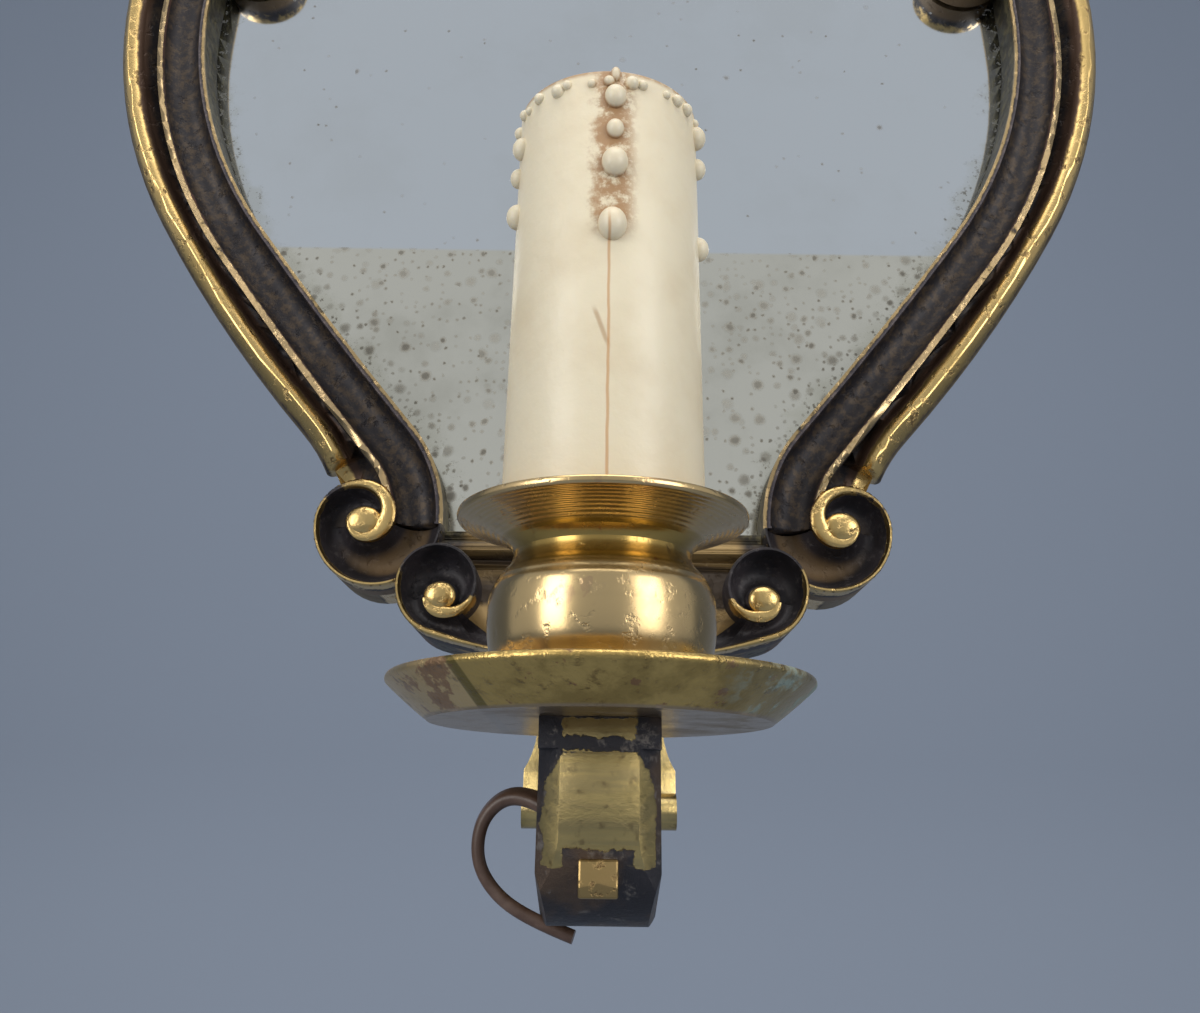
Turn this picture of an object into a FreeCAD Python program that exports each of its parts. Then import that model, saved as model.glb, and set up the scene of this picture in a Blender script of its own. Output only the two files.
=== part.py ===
import FreeCAD, Part
import math
import os

import Sketcher
from FreeCAD import Placement, Rotation, Vector

# Wall-hung girandole mirror: a cast frame with scrolled ends round an old mirror, and one electric
# candle on a cast arm. Millimetres; X to the right, Y into the wall, Z up. The origin lies on the
# wall, on the centre line, level with the widest part of the frame. "Front" sizes count from the wall.

doc = FreeCAD.newDocument("girandole_mirror")
dims = doc.addObject("Spreadsheet::Sheet", "dims")

dimensions = {
    # outer line of the frame moulding, from its widest point down and up
    "outerHalf": 110.8,
    "springHeight": 4.9,
    "shoulderRadius": 90.0,
    "shoulderTurn": 50.0,
    "flankRadius": 120.0,
    "flankTurn": 32.4,
    "waistRadius": 309.0,
    "waistTurn": 10.6,
    "heelRadius": 34.0,
    "heelTurn": 16.0,
    # sight line, the inner edge of the moulding, set in from the outer line
    "mouldingWidth": 21.4,
    "shoulderStep": 22.0,
    "flankStep": 21.6,
    "sightSpring": -3.5,
    "sightFlankTurn": 37.3,
    "sightWaistRadius": 836.0,
    "sightWaistTurn": 3.5,
    "sightHeelRadius": 27.0,
    "sightFootHalf": 28.4,
    # section of the moulding
    "plateInset": 1.6,
    "plateFront": 9.5,
    "beadWidth": 5.4,
    "beadFront": 14.2,
    "beadBack": 6.0,
    "slopeWidth": 2.8,
    "bandWidth": 10.0,
    "ridgeWidth": 1.2,
    "ridgeFront": 17.0,
    "coveDepth": 3.4,
    "lipBack": 8.5,
    "rebateWidth": 5.0,
    "backRim": 5.0,
    "backRecess": 3.2,
    # foot rail under the mirror
    "railTop": -123.3,
    "railHeight": 8.2,
    "railFront": 14.5,
    # scrolls
    "scrollRim": 1.4,
    "bigScrollRadius": 11.5,
    "bigScrollFloor": 11.2,
    "bigScrollEye": 2.9,
    "curlRadius": 8.0,
    "curlHeight": 14.4,
    "curlOverlap": 2.4,
    "curlBack": 9.0,
    "curlFloor": 12.6,
    "curlEye": 2.4,
    "smallScrollRadius": 9.0,
    "smallScrollFloor": 17.2,
    "smallScrollFront": 20.4,
    "smallScrollEye": 2.5,
    "backGap": 1.0,
    "apronBottom": -147.0,
    "apronSweepRadius": 104.0,
    "apronSweepTurn": 16.0,
    "apronRimStart": 12.6,
    "apronBack": 2.0,
    "apronFront": 13.0,
    # mirror and its backing
    "glassThickness": 3.4,
    "glassClearance": 0.6,
    "boardThickness": 1.6,
    "fitGap": 0.15,
    "buttonLength": 15.0,
    "buttonWidth": 5.6,
    "buttonThickness": 1.0,
    "buttonSetback": 3.6,
    "lowerButtonTurn": 22.0,
    "upperButtonTurn": 40.0,
    "buttonScrewRadius": 1.4,
    "screwHeadRadius": 2.4,
    "screwHeadHeight": 0.9,
    "screwDepth": 3.4,
    "runningFit": 0.05,
    # hanging ring
    "ringWire": 0.75,
    "ringHalfWidth": 6.6,
    "ringDrop": 13.0,
    "knuckleLength": 7.6,
    "knuckleWall": 0.6,
    "knuckleFront": 1.75,
    "knuckleInset": 2.2,
    "strapWidth": 26.0,
    "strapHeight": 6.4,
    "strapThickness": 0.6,
    "strapScrewSpacing": 20.0,
    "strapScrewRadius": 1.1,
    "strapHeadRadius": 1.8,
    "ringCorner": 2.0,
    # arm
    "armReach": 64.0,
    "armWidth": 13.9,
    "armTop": -160.4,
    "lugThickness": 5.0,
    "lugBack": 9.0,
    "limbFront": 10.0,
    "limbThickness": 7.0,
    "armBottom": -182.0,
    "leafWidth": 24.4,
    "leafThickness": 4.0,
    "leafTop": -132.4,
    "leafBottom": -169.4,
    "leafRoll": 2.7,
    "rootTop": -147.0,
    "rootBottom": -160.0,
    "collarHeight": 3.4,
    "limbChamfer": 2.5,
    "panelWidth": 8.8,
    "panelHeight": 9.4,
    "panelProud": 0.6,
    "bossWidth": 3.9,
    "bossHeight": 3.3,
    "bossTop": -175.2,
    "armScrewSpacing": 7.0,
    "armScrewHeight": -138.4,
    "armScrewRadius": 2.0,
    "armScrewHeadRadius": 3.6,
    "armScrewHeadHeight": 2.4,
    # drip pan and candle cup
    "panFloorRadius": 21.0,
    "panRimRadius": 26.2,
    "panHeight": 5.0,
    "panWall": 1.3,
    "cupHeight": 24.4,
    "cupFootRadius": 11.2,
    "cupBellyRadius": 14.5,
    "cupNeckRadius": 11.5,
    "flangeRadius": 18.9,
    "flangeEdge": 1.0,
    "flangeDish": 2.2,
    # nipple, nut and lampholder
    "nippleRadius": 5.0,
    "nippleBore": 3.6,
    "threadClearance": 0.05,
    "nutHeight": 3.0,
    "nutAcross": 14.0,
    "holderRadius": 11.3,
    "holderBaseHeight": 8.0,
    "holderWall": 0.9,
    "insulatorHeight": 20.0,
    "skirtHeight": 27.0,
    "skirtWall": 1.6,
    "shellBore": 7.0,
    "shellWall": 0.35,
    "lampShellHeight": 22.0,
    "contactWidth": 5.0,
    "contactHalf": 5.0,
    "contactThickness": 0.5,
    "contactRise": 0.9,
    "contactTravel": 0.6,
    "wellRadius": 6.2,
    "wellDepth": 3.0,
    "terminalRadius": 1.8,
    # candle sleeve
    "sleeveRadius": 13.5,
    "sleeveWall": 1.3,
    "sleeveHeight": 65.0,
    # flex
    "flexRadius": 1.4,
}
for row, (name, value) in enumerate(dimensions.items(), start=1):
    dims.set(f"A{row}", name)
    dims.set(f"B{row}", str(value))
    dims.setAlias(f"B{row}", name)
doc.recompute()


def size(expression):
    """value of a sheet name, or of an expression over sheet names"""
    if expression in dimensions:
        expression = "dims." + expression
    return float(dims.evalExpression(expression))


def newBody(label, at=("0", "0", "0")):
    body = doc.addObject("PartDesign::Body", label)
    body.Label = label
    for axis, expression in zip("xyz", at):
        body.setExpression(f"Placement.Base.{axis}", expression)
    return body


def newSketch(body, name, role, lift=None):
    """sketch on one of the body's own planes, lifted along the plane's normal"""
    sketch = body.newObject("Sketcher::SketchObject", name)
    support = next(item for item in body.Origin.OriginFeatures if item.Role == role)
    sketch.AttachmentSupport = [(support, "")]
    sketch.MapMode = "FlatFace"
    if lift:
        sketch.setExpression("AttachmentOffset.Base.z", bound(lift))
    return sketch


def bulge(start, end, radius):
    """middle of the short arc of this radius, left of the run if the radius is positive"""
    chord = end - start
    half = chord.Length / 2
    rise = abs(radius) - math.sqrt(radius ** 2 - half ** 2)
    left = Vector(-chord.y, chord.x, 0).normalize()
    return (start + end) / 2 + left * math.copysign(rise, radius)


def arcThrough(start, middle, end):
    """arc that runs anticlockwise in its plane, whichever end is given first"""
    anticlockwise = (middle - start).cross(end - middle).z > 0
    return Part.Arc(start, middle, end) if anticlockwise else Part.Arc(end, middle, start)


def closedOutline(sketch, corners):
    """closed outline through corners (x, y), each bound to the sheet; (x, y, radius) bends the
    edge that ends there"""
    spots = [Vector(size(corner[0]), size(corner[1]), 0) for corner in corners]
    ends = []
    for index, corner in enumerate(corners):
        start, end = spots[index - 1], spots[index]
        if len(corner) == 3:
            edge = arcThrough(start, bulge(start, end, size(corner[2])), end)
        else:
            edge = Part.LineSegment(start, end)
        sketch.addGeometry(edge, False)
        forward = edge.StartPoint.distanceToPoint(start) < edge.EndPoint.distanceToPoint(start)
        ends.append((1, 2) if forward else (2, 1))
    count = len(corners)
    for index, corner in enumerate(corners):
        following = (index + 1) % count
        tip, tail = ends[index][1], ends[following][0]
        sketch.addConstraint(Sketcher.Constraint("Coincident", index, tip, following, tail))
        for kind, expression, number in (("DistanceX", corner[0], spots[index].x),
                                         ("DistanceY", corner[1], spots[index].y)):
            pin = sketch.addConstraint(Sketcher.Constraint(kind, -1, 1, index, tip, number))
            sketch.setExpression(f"Constraints[{pin}]", bound(expression))


def bound(expression):
    return "dims." + expression if expression in dimensions else expression


def circle(sketch, radius, x="0", y="0"):
    spot = Vector(size(x), size(y), 0)
    index = sketch.addGeometry(Part.Circle(spot, Vector(0, 0, 1), size(radius)), False)
    pins = (("Radius", (index,), radius, size(radius)), ("DistanceX", (-1, 1, index, 3), x, spot.x),
            ("DistanceY", (-1, 1, index, 3), y, spot.y))
    for kind, spots, expression, number in pins:
        pin = sketch.addConstraint(Sketcher.Constraint(kind, *spots, number))
        sketch.setExpression(f"Constraints[{pin}]", bound(expression))


def pad(body, sketch, length, name, centred=False, flipped=False):
    feature = body.newObject("PartDesign::Pad", name)
    feature.Profile = sketch
    feature.setExpression("Length", bound(length))
    feature.Reversed = flipped
    if centred:
        feature.SideType = "Symmetric"
    body.Tip = feature
    return feature


def pocket(body, sketch, length, name, centred=False, flipped=False):
    feature = body.newObject("PartDesign::Pocket", name)
    feature.Profile = sketch
    feature.setExpression("Length", bound(length))
    feature.Reversed = flipped
    if centred:
        feature.SideType = "Symmetric"
    body.Tip = feature
    return feature


def turned(label, corners, at, alongY=False):
    """piece turned about its own Z axis, or Y axis, from a closed half profile"""
    body = newBody(label, at)
    sketch = newSketch(body, label + "_profile", "XY_Plane" if alongY else "XZ_Plane")
    closedOutline(sketch, corners)
    feature = body.newObject("PartDesign::Revolution", label + "_turning")
    feature.Profile = sketch
    feature.ReferenceAxis = (sketch, ["V_Axis"])
    feature.Angle = 360
    body.Tip = feature
    return body


def grouped(label, members):
    """several separate solids of one kind in one piece list entry"""
    group = doc.addObject("Part::Compound", label)
    group.Links = members
    return group


def direction(degrees):
    return Vector(math.cos(math.radians(degrees)), math.sin(math.radians(degrees)), 0)


def bendPath(start, heading, bends, shift=0.0):
    """tangent run of arcs (radius, turn) and straights (0, length) in a sketch plane; a positive
    turn is to the left, and shift moves the whole run to its left. Gives edges, end and heading."""
    edges = []
    spot = start + direction(heading + 90) * shift
    for radius, amount in bends:
        if radius == 0:
            end = spot + direction(heading) * amount
            edges.append(Part.LineSegment(spot, end))
        else:
            side = math.copysign(1, amount)
            ray = radius - side * shift
            centre = spot + direction(heading + 90) * (ray * side)
            middle = centre - direction(heading + amount / 2 + 90) * (ray * side)
            end = centre - direction(heading + amount + 90) * (ray * side)
            edges.append(arcThrough(spot, middle, end))
            heading += amount
        spot = end
    return edges, spot, heading


# ---- lines of the frame, right half, from the top centre round the shoulder and down the flank

def frameBends(half, shoulderRadius, shoulderTurn, straight, lower):
    crownTurn = 90 - shoulderTurn
    reach = half - shoulderRadius * (1 - math.cos(math.radians(shoulderTurn)))
    crownRadius = reach / math.sin(math.radians(crownTurn))
    rise = (shoulderRadius * math.sin(math.radians(shoulderTurn))
            + crownRadius * (1 - math.cos(math.radians(crownTurn))))
    bends = [(crownRadius, -crownTurn), (shoulderRadius, -shoulderTurn)]
    if straight:
        bends.append((0, straight))
    return bends + lower, rise


outerBends, outerRise = frameBends(
    size("outerHalf"), size("shoulderRadius"), size("shoulderTurn"), 0,
    [(size("flankRadius"), -size("flankTurn")), (size("waistRadius"), -size("waistTurn")),
     (size("heelRadius"), size("heelTurn"))])
outerTop = Vector(0, size("springHeight") + outerRise, 0)

sightHalf = size("outerHalf") - size("mouldingWidth")
# the sight line runs straight down its flank far enough to end upright at the foot's half width
sightLean = size("sightFlankTurn") + size("sightWaistTurn")
sightBends, sightRise = frameBends(
    sightHalf, size("shoulderRadius") - size("shoulderStep"), size("shoulderTurn"),
    size("springHeight") - size("sightSpring"),
    [(size("flankRadius") - size("flankStep"), -size("sightFlankTurn")),
     (size("sightWaistRadius"), -size("sightWaistTurn"))])
sightTop = Vector(0, size("springHeight") + sightRise, 0)
_, waistEnd, _ = bendPath(sightTop, 0, sightBends)
heelDrop = size("sightHeelRadius") * (1 - math.cos(math.radians(sightLean)))
slide = (waistEnd.x - size("sightFootHalf") - heelDrop) / math.sin(math.radians(sightLean))
sightBends += [(0, slide), (size("sightHeelRadius"), sightLean)]


def outerLine(inset=0.0):
    return bendPath(outerTop, 0, outerBends, -inset)


def sightLine(outset=0.0):
    return bendPath(sightTop, 0, sightBends, outset)


def wireOutline(sketch, runs):
    """closed outline from runs of edges, joined by straight lines where they leave a gap"""
    edges = [edge for run in runs for edge in run]
    opening = (edges[0].EndPoint, edges[0].StartPoint)
    last = max(opening, key=lambda spot: min(spot.distanceToPoint(edges[1].StartPoint),
                                             spot.distanceToPoint(edges[1].EndPoint)))
    first = last
    for edge in edges:
        start, end = sorted((edge.StartPoint, edge.EndPoint), key=last.distanceToPoint)
        if start.distanceToPoint(last) > 1e-6:
            sketch.addGeometry(Part.LineSegment(last, start), False)
        sketch.addGeometry(edge, False)
        last = end
    if last.distanceToPoint(first) > 1e-6:
        sketch.addGeometry(Part.LineSegment(last, first), False)


def polyline(*spots):
    return [Part.LineSegment(start, end) for start, end in zip(spots, spots[1:])]


# ---- cast frame, right half first

frameHalf = newBody("frame_half")

footEnd = sightLine()[1]
voluteStart = Vector(size("sightFootHalf"), footEnd.y, 0)
bigRadii = [size("bigScrollRadius") * share for share in (1.0, 0.98, 0.69, 0.56, 0.43, 0.3)]
bigBends = [(radius, 90) for radius in bigRadii]
plateHeel = Vector(voluteStart.x + 1.4 * size("bigScrollRadius"), voluteStart.y, 0)
railBottom = size("railTop") - size("railHeight")

plateSketch = newSketch(frameHalf, "plate_outline", "XZ_Plane")
outerEdges, outerEnd, _ = outerLine(size("plateInset"))
sightEdges = sightLine()[0]
footCorner = Vector(size("sightFootHalf"), railBottom, 0)
wireOutline(plateSketch, [outerEdges, polyline(outerEnd, plateHeel, footCorner, footEnd),
                          list(reversed(sightEdges))])
pad(frameHalf, plateSketch, "plateFront", "plate")


def sweepAlong(body, name, edges, corners, cut=False):
    """moulding of one section, set up on the plane through the top centre, along a frame line"""
    spine = newSketch(body, name + "_line", "XZ_Plane")
    for edge in edges:
        spine.addGeometry(edge, False)
    section = newSketch(body, name + "_section", "YZ_Plane")
    closedOutline(section, corners)
    kind = "PartDesign::SubtractivePipe" if cut else "PartDesign::AdditivePipe"
    feature = body.newObject(kind, name)
    feature.Profile = section
    feature.Spine = (spine, [f"Edge{number}" for number in range(1, len(edges) + 1)])
    body.Tip = feature
    return feature


crown = f"{outerTop.y}"
sweepAlong(frameHalf, "outer_moulding", outerLine()[0], [
    ("-dims.beadBack", f"{crown} - dims.plateInset - 0.4"),
    ("-dims.beadBack - 1.6", f"{crown} - 0.5"),
    ("-dims.beadFront", f"{crown} - dims.beadWidth / 2", "-(dims.beadFront - dims.beadBack) * 0.62"),
    ("-dims.beadFront + 2.0", f"{crown} - dims.beadWidth", "-dims.beadWidth * 0.6"),
    ("-dims.plateFront + 0.4", f"{crown} - dims.beadWidth - dims.slopeWidth"),
    ("-dims.beadBack", f"{crown} - dims.beadWidth - dims.slopeWidth"),
])

inner = f"{sightTop.y}"
sweepAlong(frameHalf, "inner_moulding", sightLine()[0], [
    ("-dims.lipBack", inner),
    ("-dims.ridgeFront", inner),
    ("-dims.ridgeFront", f"{inner} + dims.ridgeWidth"),
    ("-dims.ridgeFront", f"{inner} + dims.bandWidth - dims.ridgeWidth",
     "-((dims.bandWidth / 2 - dims.ridgeWidth)^2 + dims.coveDepth^2) / (2 * dims.coveDepth)"),
    ("-dims.ridgeFront", f"{inner} + dims.bandWidth"),
    ("-dims.lipBack", f"{inner} + dims.bandWidth"),
])

# foot rail: a reeded bar under the mirror
rail = newSketch(frameHalf, "rail_section", "YZ_Plane")
closedOutline(rail, [
    ("0", "dims.railTop - dims.railHeight"),
    ("-dims.railFront + 4", "dims.railTop - dims.railHeight"),
    ("-dims.railFront + 1", "dims.railTop - dims.railHeight + 1.8", "2.6"),
    ("-dims.railFront + 2", "dims.railTop - dims.railHeight + 2.6"),
    ("-dims.railFront + 1", "dims.railTop - 2.2", "1.9"),
    ("-dims.railFront + 2.6", "dims.railTop - 1.6"),
    ("-dims.railFront + 2.6", "dims.railTop", "1.0"),
    ("0", "dims.railTop"),
])
pad(frameHalf, rail, "dims.sightFootHalf + 4", "foot_rail")


def scroll(body, name, start, heading, bends, back, floor, front, eye):
    """scroll of a moulding's end: a floor inside the first turns, a raised rim that follows the
    whole spiral, and a round eye at its heart"""
    edges, spot, ending = bendPath(start, heading, bends)
    quarters = next(index for index, bend in enumerate(bends) if abs(bend[1]) == 90)
    ground = newSketch(body, name + "_ground", "XZ_Plane", bound(back))
    wireOutline(ground, [edges[:quarters + 3]])
    pad(body, ground, f"{bound(floor)} - {bound(back)}", name + "_floor")
    side = math.copysign(1, bends[-1][1])
    rimEdges = bendPath(start, heading, bends, side * size("scrollRim"))[0]
    rim = newSketch(body, name + "_rim_line", "XZ_Plane", bound(back))
    wireOutline(rim, [edges, list(reversed(rimEdges))])
    pad(body, rim, f"{bound(front)} - {bound(back)}", name + "_rim")
    lastRadius = bends[-1][0]
    centre = spot + direction(ending + 90 * side) * (lastRadius * 0.8)
    pupil = newSketch(body, name + "_eye_line", "XZ_Plane", bound(back))
    circle(pupil, eye, f"{centre.x}", f"{centre.y}")
    return pad(body, pupil, f"{bound(front)} - {bound(back)} + 0.3", name + "_eye")


scroll(frameHalf, "big_scroll", voluteStart, -90, bigBends, "backGap", "bigScrollFloor",
       "ridgeFront", "bigScrollEye")

# upper curl: the shoulder's inner edge rolls in over the mirror
curlStart = Vector(sightHalf + size("curlOverlap"), size("curlHeight"), 0)
curlBends = [(size("curlRadius") * share, -90) for share in (1.0, 0.95, 0.72, 0.55, 0.38)]
scroll(frameHalf, "upper_curl", curlStart, -90, curlBends, "curlBack", "curlFloor", "ridgeFront",
       "curlEye")

# apron: a scroll that hangs below the rail and carries the arm
apronStart = Vector(0, size("apronBottom"), 0)
sweep = size("apronSweepRadius")
smallBends = [(size("smallScrollRadius"), 90 - size("apronSweepTurn"))]
smallBends += [(size("smallScrollRadius") * share, 90) for share in (0.72, 0.59, 0.45, 0.31)]
apronEdges, apronSide, _ = bendPath(apronStart, 0, [(sweep, size("apronSweepTurn"))] + smallBends[:2])
apron = newSketch(frameHalf, "apron_outline", "XZ_Plane", "dims.apronBack")
wireOutline(apron, [apronEdges, polyline(apronSide, Vector(0, size("railTop") - 3, 0), apronStart)])
pad(frameHalf, apron, "dims.apronFront - dims.apronBack", "apron")
rimTurn = math.degrees(math.asin(size("apronRimStart") / sweep))
rimSpot = bendPath(apronStart, 0, [(sweep, rimTurn)])[1]
scroll(frameHalf, "small_scroll", rimSpot, rimTurn,
       [(sweep, size("apronSweepTurn") - rimTurn)] + smallBends, "apronBack", "smallScrollFloor",
       "smallScrollFront", "smallScrollEye")

# rebate for the mirror and a shallow recess behind it
rebate = newSketch(frameHalf, "rebate_outline", "XZ_Plane")
rebateEdges, rebateEnd, _ = sightLine(size("rebateWidth"))
rebateFoot = size("railTop") - size("rebateWidth") + 0.6
rebateTop = Vector(0, sightTop.y + size("rebateWidth"), 0)
rebateCorner = Vector(rebateEnd.x, rebateFoot, 0)
wireOutline(rebate, [rebateEdges, polyline(rebateEnd, rebateCorner, Vector(0, rebateFoot, 0),
                                           rebateTop)])
pocket(frameHalf, rebate, "lipBack", "rebate", flipped=True)

recess = newSketch(frameHalf, "recess_outline", "XZ_Plane")
recessEdges, recessEnd, _ = outerLine(size("backRim"))
wireOutline(recess, [recessEdges, polyline(recessEnd, rebateCorner, Vector(0, rebateFoot, 0),
                                           Vector(0, outerTop.y - size("backRim"), 0))])
pocket(frameHalf, recess, "backRecess", "recess", flipped=True)


# tapped holes for the turn-button screws, on the land beside the rebate
def buttonSpot(bends):
    """pivot of a turn button and the way it points, over the edge of the mirror's back"""
    _, spot, heading = bendPath(sightTop, 0, bends)
    setback = size("rebateWidth") + size("buttonSetback")
    return spot + direction(heading + 90) * setback, heading - 90


upperSpot = buttonSpot(sightBends[:1] + [(sightBends[1][0], -size("upperButtonTurn"))])
lowerSpot = buttonSpot(sightBends[:3] + [(sightBends[3][0], -size("lowerButtonTurn"))])
tapped = newSketch(frameHalf, "button_holes", "XZ_Plane")
for spot, _ in (upperSpot, lowerSpot):
    circle(tapped, "dims.buttonScrewRadius + dims.threadClearance", f"{spot.x}", f"{spot.y}")
pocket(frameHalf, tapped, "dims.backRecess + dims.screwDepth + 0.3", "button_tapping", flipped=True)

# the hanger's hinge line lies just inside the back rim
knuckle = f"({outerTop.y} - dims.backRim - dims.knuckleInset)"
strapHole = newSketch(frameHalf, "strap_hole", "XZ_Plane")
circle(strapHole, "dims.strapScrewRadius + dims.threadClearance", "dims.strapScrewSpacing / 2",
       f"{knuckle} - dims.strapHeight / 2")
pocket(frameHalf, strapHole, "dims.backRecess + dims.screwDepth + 0.3", "strap_tapping", flipped=True)

armHole = newSketch(frameHalf, "arm_screw_hole", "XZ_Plane")
circle(armHole, "dims.armScrewRadius + dims.threadClearance", "dims.armScrewSpacing / 2",
       "armScrewHeight")
pocket(frameHalf, armHole, "dims.apronFront + 1", "arm_screw_drilling", flipped=True)
armSink = newSketch(frameHalf, "arm_screw_sink", "XZ_Plane")
circle(armSink, "dims.armScrewHeadRadius + 0.3", "dims.armScrewSpacing / 2", "armScrewHeight")
pocket(frameHalf, armSink, "dims.apronBack + dims.armScrewHeadHeight + 0.6", "arm_screw_counterbore",
       flipped=True)
halfSpace = newSketch(frameHalf, "middle_cut", "XZ_Plane")
wireOutline(halfSpace, [polyline(Vector(0, -200, 0), Vector(-9, -200, 0), Vector(-9, 200, 0),
                                 Vector(0, 200, 0))])
pocket(frameHalf, halfSpace, "2 * dims.ridgeFront + 20", "middle_trim", flipped=True)

frameOther = doc.addObject("Part::Mirroring", "frame_other_half")
frameOther.Source = frameHalf
frameOther.Normal = Vector(1, 0, 0)


def fused(label, members, refine=True):
    """several forms of one casting or moulding, as one solid"""
    union = doc.addObject("Part::MultiFuse", label)
    union.Shapes = members
    union.Refine = refine
    return union


frame = fused("frame_casting", [frameHalf, frameOther])


def mirrored(edges):
    """the left half of an outline, in the order that follows the right half"""
    twins = []
    for edge in reversed(edges):
        if isinstance(edge, Part.LineSegment):
            spots = (edge.StartPoint, edge.EndPoint)
            twins.append(Part.LineSegment(*(Vector(-spot.x, spot.y, 0) for spot in spots)))
        else:
            middle = edge.value((edge.FirstParameter + edge.LastParameter) / 2)
            spots = (edge.StartPoint, middle, edge.EndPoint)
            twins.append(arcThrough(*(Vector(-spot.x, spot.y, 0) for spot in spots)))
    return twins


def pane(label, outset, foot, back, thickness):
    """flat sheet of the sight opening's shape, enlarged all round"""
    body = newBody(label)
    sketch = newSketch(body, label + "_outline", "XZ_Plane", back)
    edges, end, _ = sightLine(outset)
    corner = Vector(end.x, foot, 0)
    half = edges + polyline(end, corner)
    wireOutline(sketch, [half, mirrored(half)])
    pad(body, sketch, thickness, label + "_sheet")
    return body


paneOutset = size("rebateWidth") - size("glassClearance")
paneFoot = rebateFoot + size("glassClearance")
glass = pane("mirror_glass", paneOutset, paneFoot, "dims.lipBack - dims.glassThickness",
             "glassThickness")
board = pane("backing_board", paneOutset - 0.3, paneFoot + 0.3,
             "dims.lipBack - dims.glassThickness - dims.boardThickness", "boardThickness")


# ---- turn buttons that hold the board in, each on its own screw

buttons = []
buttonScrews = []
buttonBack = "dims.backRecess - dims.fitGap - dims.buttonThickness"
headFront = f"({buttonBack} - 0.1)"


def screw(label, x, z, seat, shank, head, headHeight, reach):
    """slotless round-head screw driven in from the back, its head seated at this front"""
    return turned(label, [("0", f"-({seat}) + {headHeight}"), (head + " * 0.7", f"-({seat}) + {headHeight}"),
                          (head, f"-({seat}) + {headHeight} * 0.4"), (head, f"-({seat})"),
                          (shank, f"-({seat})"), (shank, f"-({seat}) - ({reach})"),
                          ("0", f"-({seat}) - ({reach})")],
                  (x, "0", z), alongY=True)


for place, (spot, pointing) in (("upper", upperSpot), ("lower", lowerSpot)):
    for side, name in ((-1, "left"), (1, "right")):
        label = f"turn_button_{place}_{name}"
        body = doc.addObject("PartDesign::Body", label)
        angle = pointing if side > 0 else 180 - pointing
        body.Placement = Placement(Vector(side * spot.x, 0, spot.y),
                                   Rotation(Vector(0, -1, 0), angle))
        sketch = newSketch(body, label + "_outline", "XZ_Plane", buttonBack)
        closedOutline(sketch, [
            ("0", "-dims.buttonWidth / 2", "-dims.buttonWidth * 0.501"),
            ("dims.buttonLength - dims.buttonWidth", "-dims.buttonWidth / 2"),
            ("dims.buttonLength - dims.buttonWidth / 2", "0", "-dims.buttonWidth * 0.501"),
            ("dims.buttonLength - dims.buttonWidth", "dims.buttonWidth / 2",
             "-dims.buttonWidth * 0.501"),
            ("0", "dims.buttonWidth / 2"),
            ("-dims.buttonWidth / 2", "0", "-dims.buttonWidth * 0.501"),
        ])
        circle(sketch, "dims.buttonScrewRadius + dims.runningFit")
        pad(body, sketch, "buttonThickness", label + "_strip")
        buttons.append(body)
        buttonScrews.append(screw(
            f"button_screw_{place}_{name}", f"{side * spot.x}", f"{spot.y}", headFront,
            "dims.buttonScrewRadius", "dims.screwHeadRadius", "dims.screwHeadHeight",
            "dims.screwDepth + 1"))
buttonScrewSet = grouped("turn_button_screws", buttonScrews)

# ---- hanging ring in a folded strap, at the top of the back

strap = newBody("hanger_strap")
plateOutline = newSketch(strap, "strap_outline", "XZ_Plane", "dims.backRecess - dims.strapThickness")
closedOutline(plateOutline, [
    ("-dims.strapWidth / 2", f"{knuckle} - dims.strapHeight"),
    ("dims.strapWidth / 2", f"{knuckle} - dims.strapHeight"),
    ("dims.strapWidth / 2", f"{knuckle} - 1"),
    ("dims.knuckleLength / 2", f"{knuckle}"),
    ("-dims.knuckleLength / 2", f"{knuckle}"),
    ("-dims.strapWidth / 2", f"{knuckle} - 1"),
])
for side in ("", "-"):
    circle(plateOutline, "dims.strapScrewRadius + dims.threadClearance",
           f"{side}dims.strapScrewSpacing / 2", f"{knuckle} - dims.strapHeight / 2")
pad(strap, plateOutline, "strapThickness", "strap_plate")
roll = newSketch(strap, "knuckle_outer", "YZ_Plane")
circle(roll, "dims.ringWire + dims.runningFit + dims.knuckleWall", "-dims.knuckleFront",
       f"{knuckle}")
pad(strap, roll, "knuckleLength", "knuckle", centred=True)
eye = newSketch(strap, "knuckle_bore", "YZ_Plane")
circle(eye, "dims.ringWire + dims.runningFit", "-dims.knuckleFront", f"{knuckle}")
pocket(strap, eye, "dims.knuckleLength + 2", "knuckle_drilling", centred=True)

ring = newBody("hanging_ring")
ringLine = newSketch(ring, "ring_line", "XZ_Plane", "dims.knuckleFront")
corner = size("ringCorner")
halfBar = (0, size("ringHalfWidth") - corner)
leg = (0, size("ringDrop") - corner - size("ringHalfWidth"))
ringEdges = bendPath(Vector(0, size(knuckle), 0), 0, [
    halfBar, (corner, -90), leg, (size("ringHalfWidth"), -90), (size("ringHalfWidth"), -90), leg,
    (corner, -90), halfBar])[0]
for edge in ringEdges:
    ringLine.addGeometry(edge, False)
ringSection = newSketch(ring, "ring_section", "YZ_Plane")
circle(ringSection, "ringWire", "-dims.knuckleFront", f"{knuckle}")
ringWire = ring.newObject("PartDesign::AdditivePipe", "ring_wire")
ringWire.Profile = ringSection
ringWire.Spine = (ringLine, [f"Edge{number}" for number in range(1, len(ringEdges) + 1)])
ring.Tip = ringWire

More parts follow.
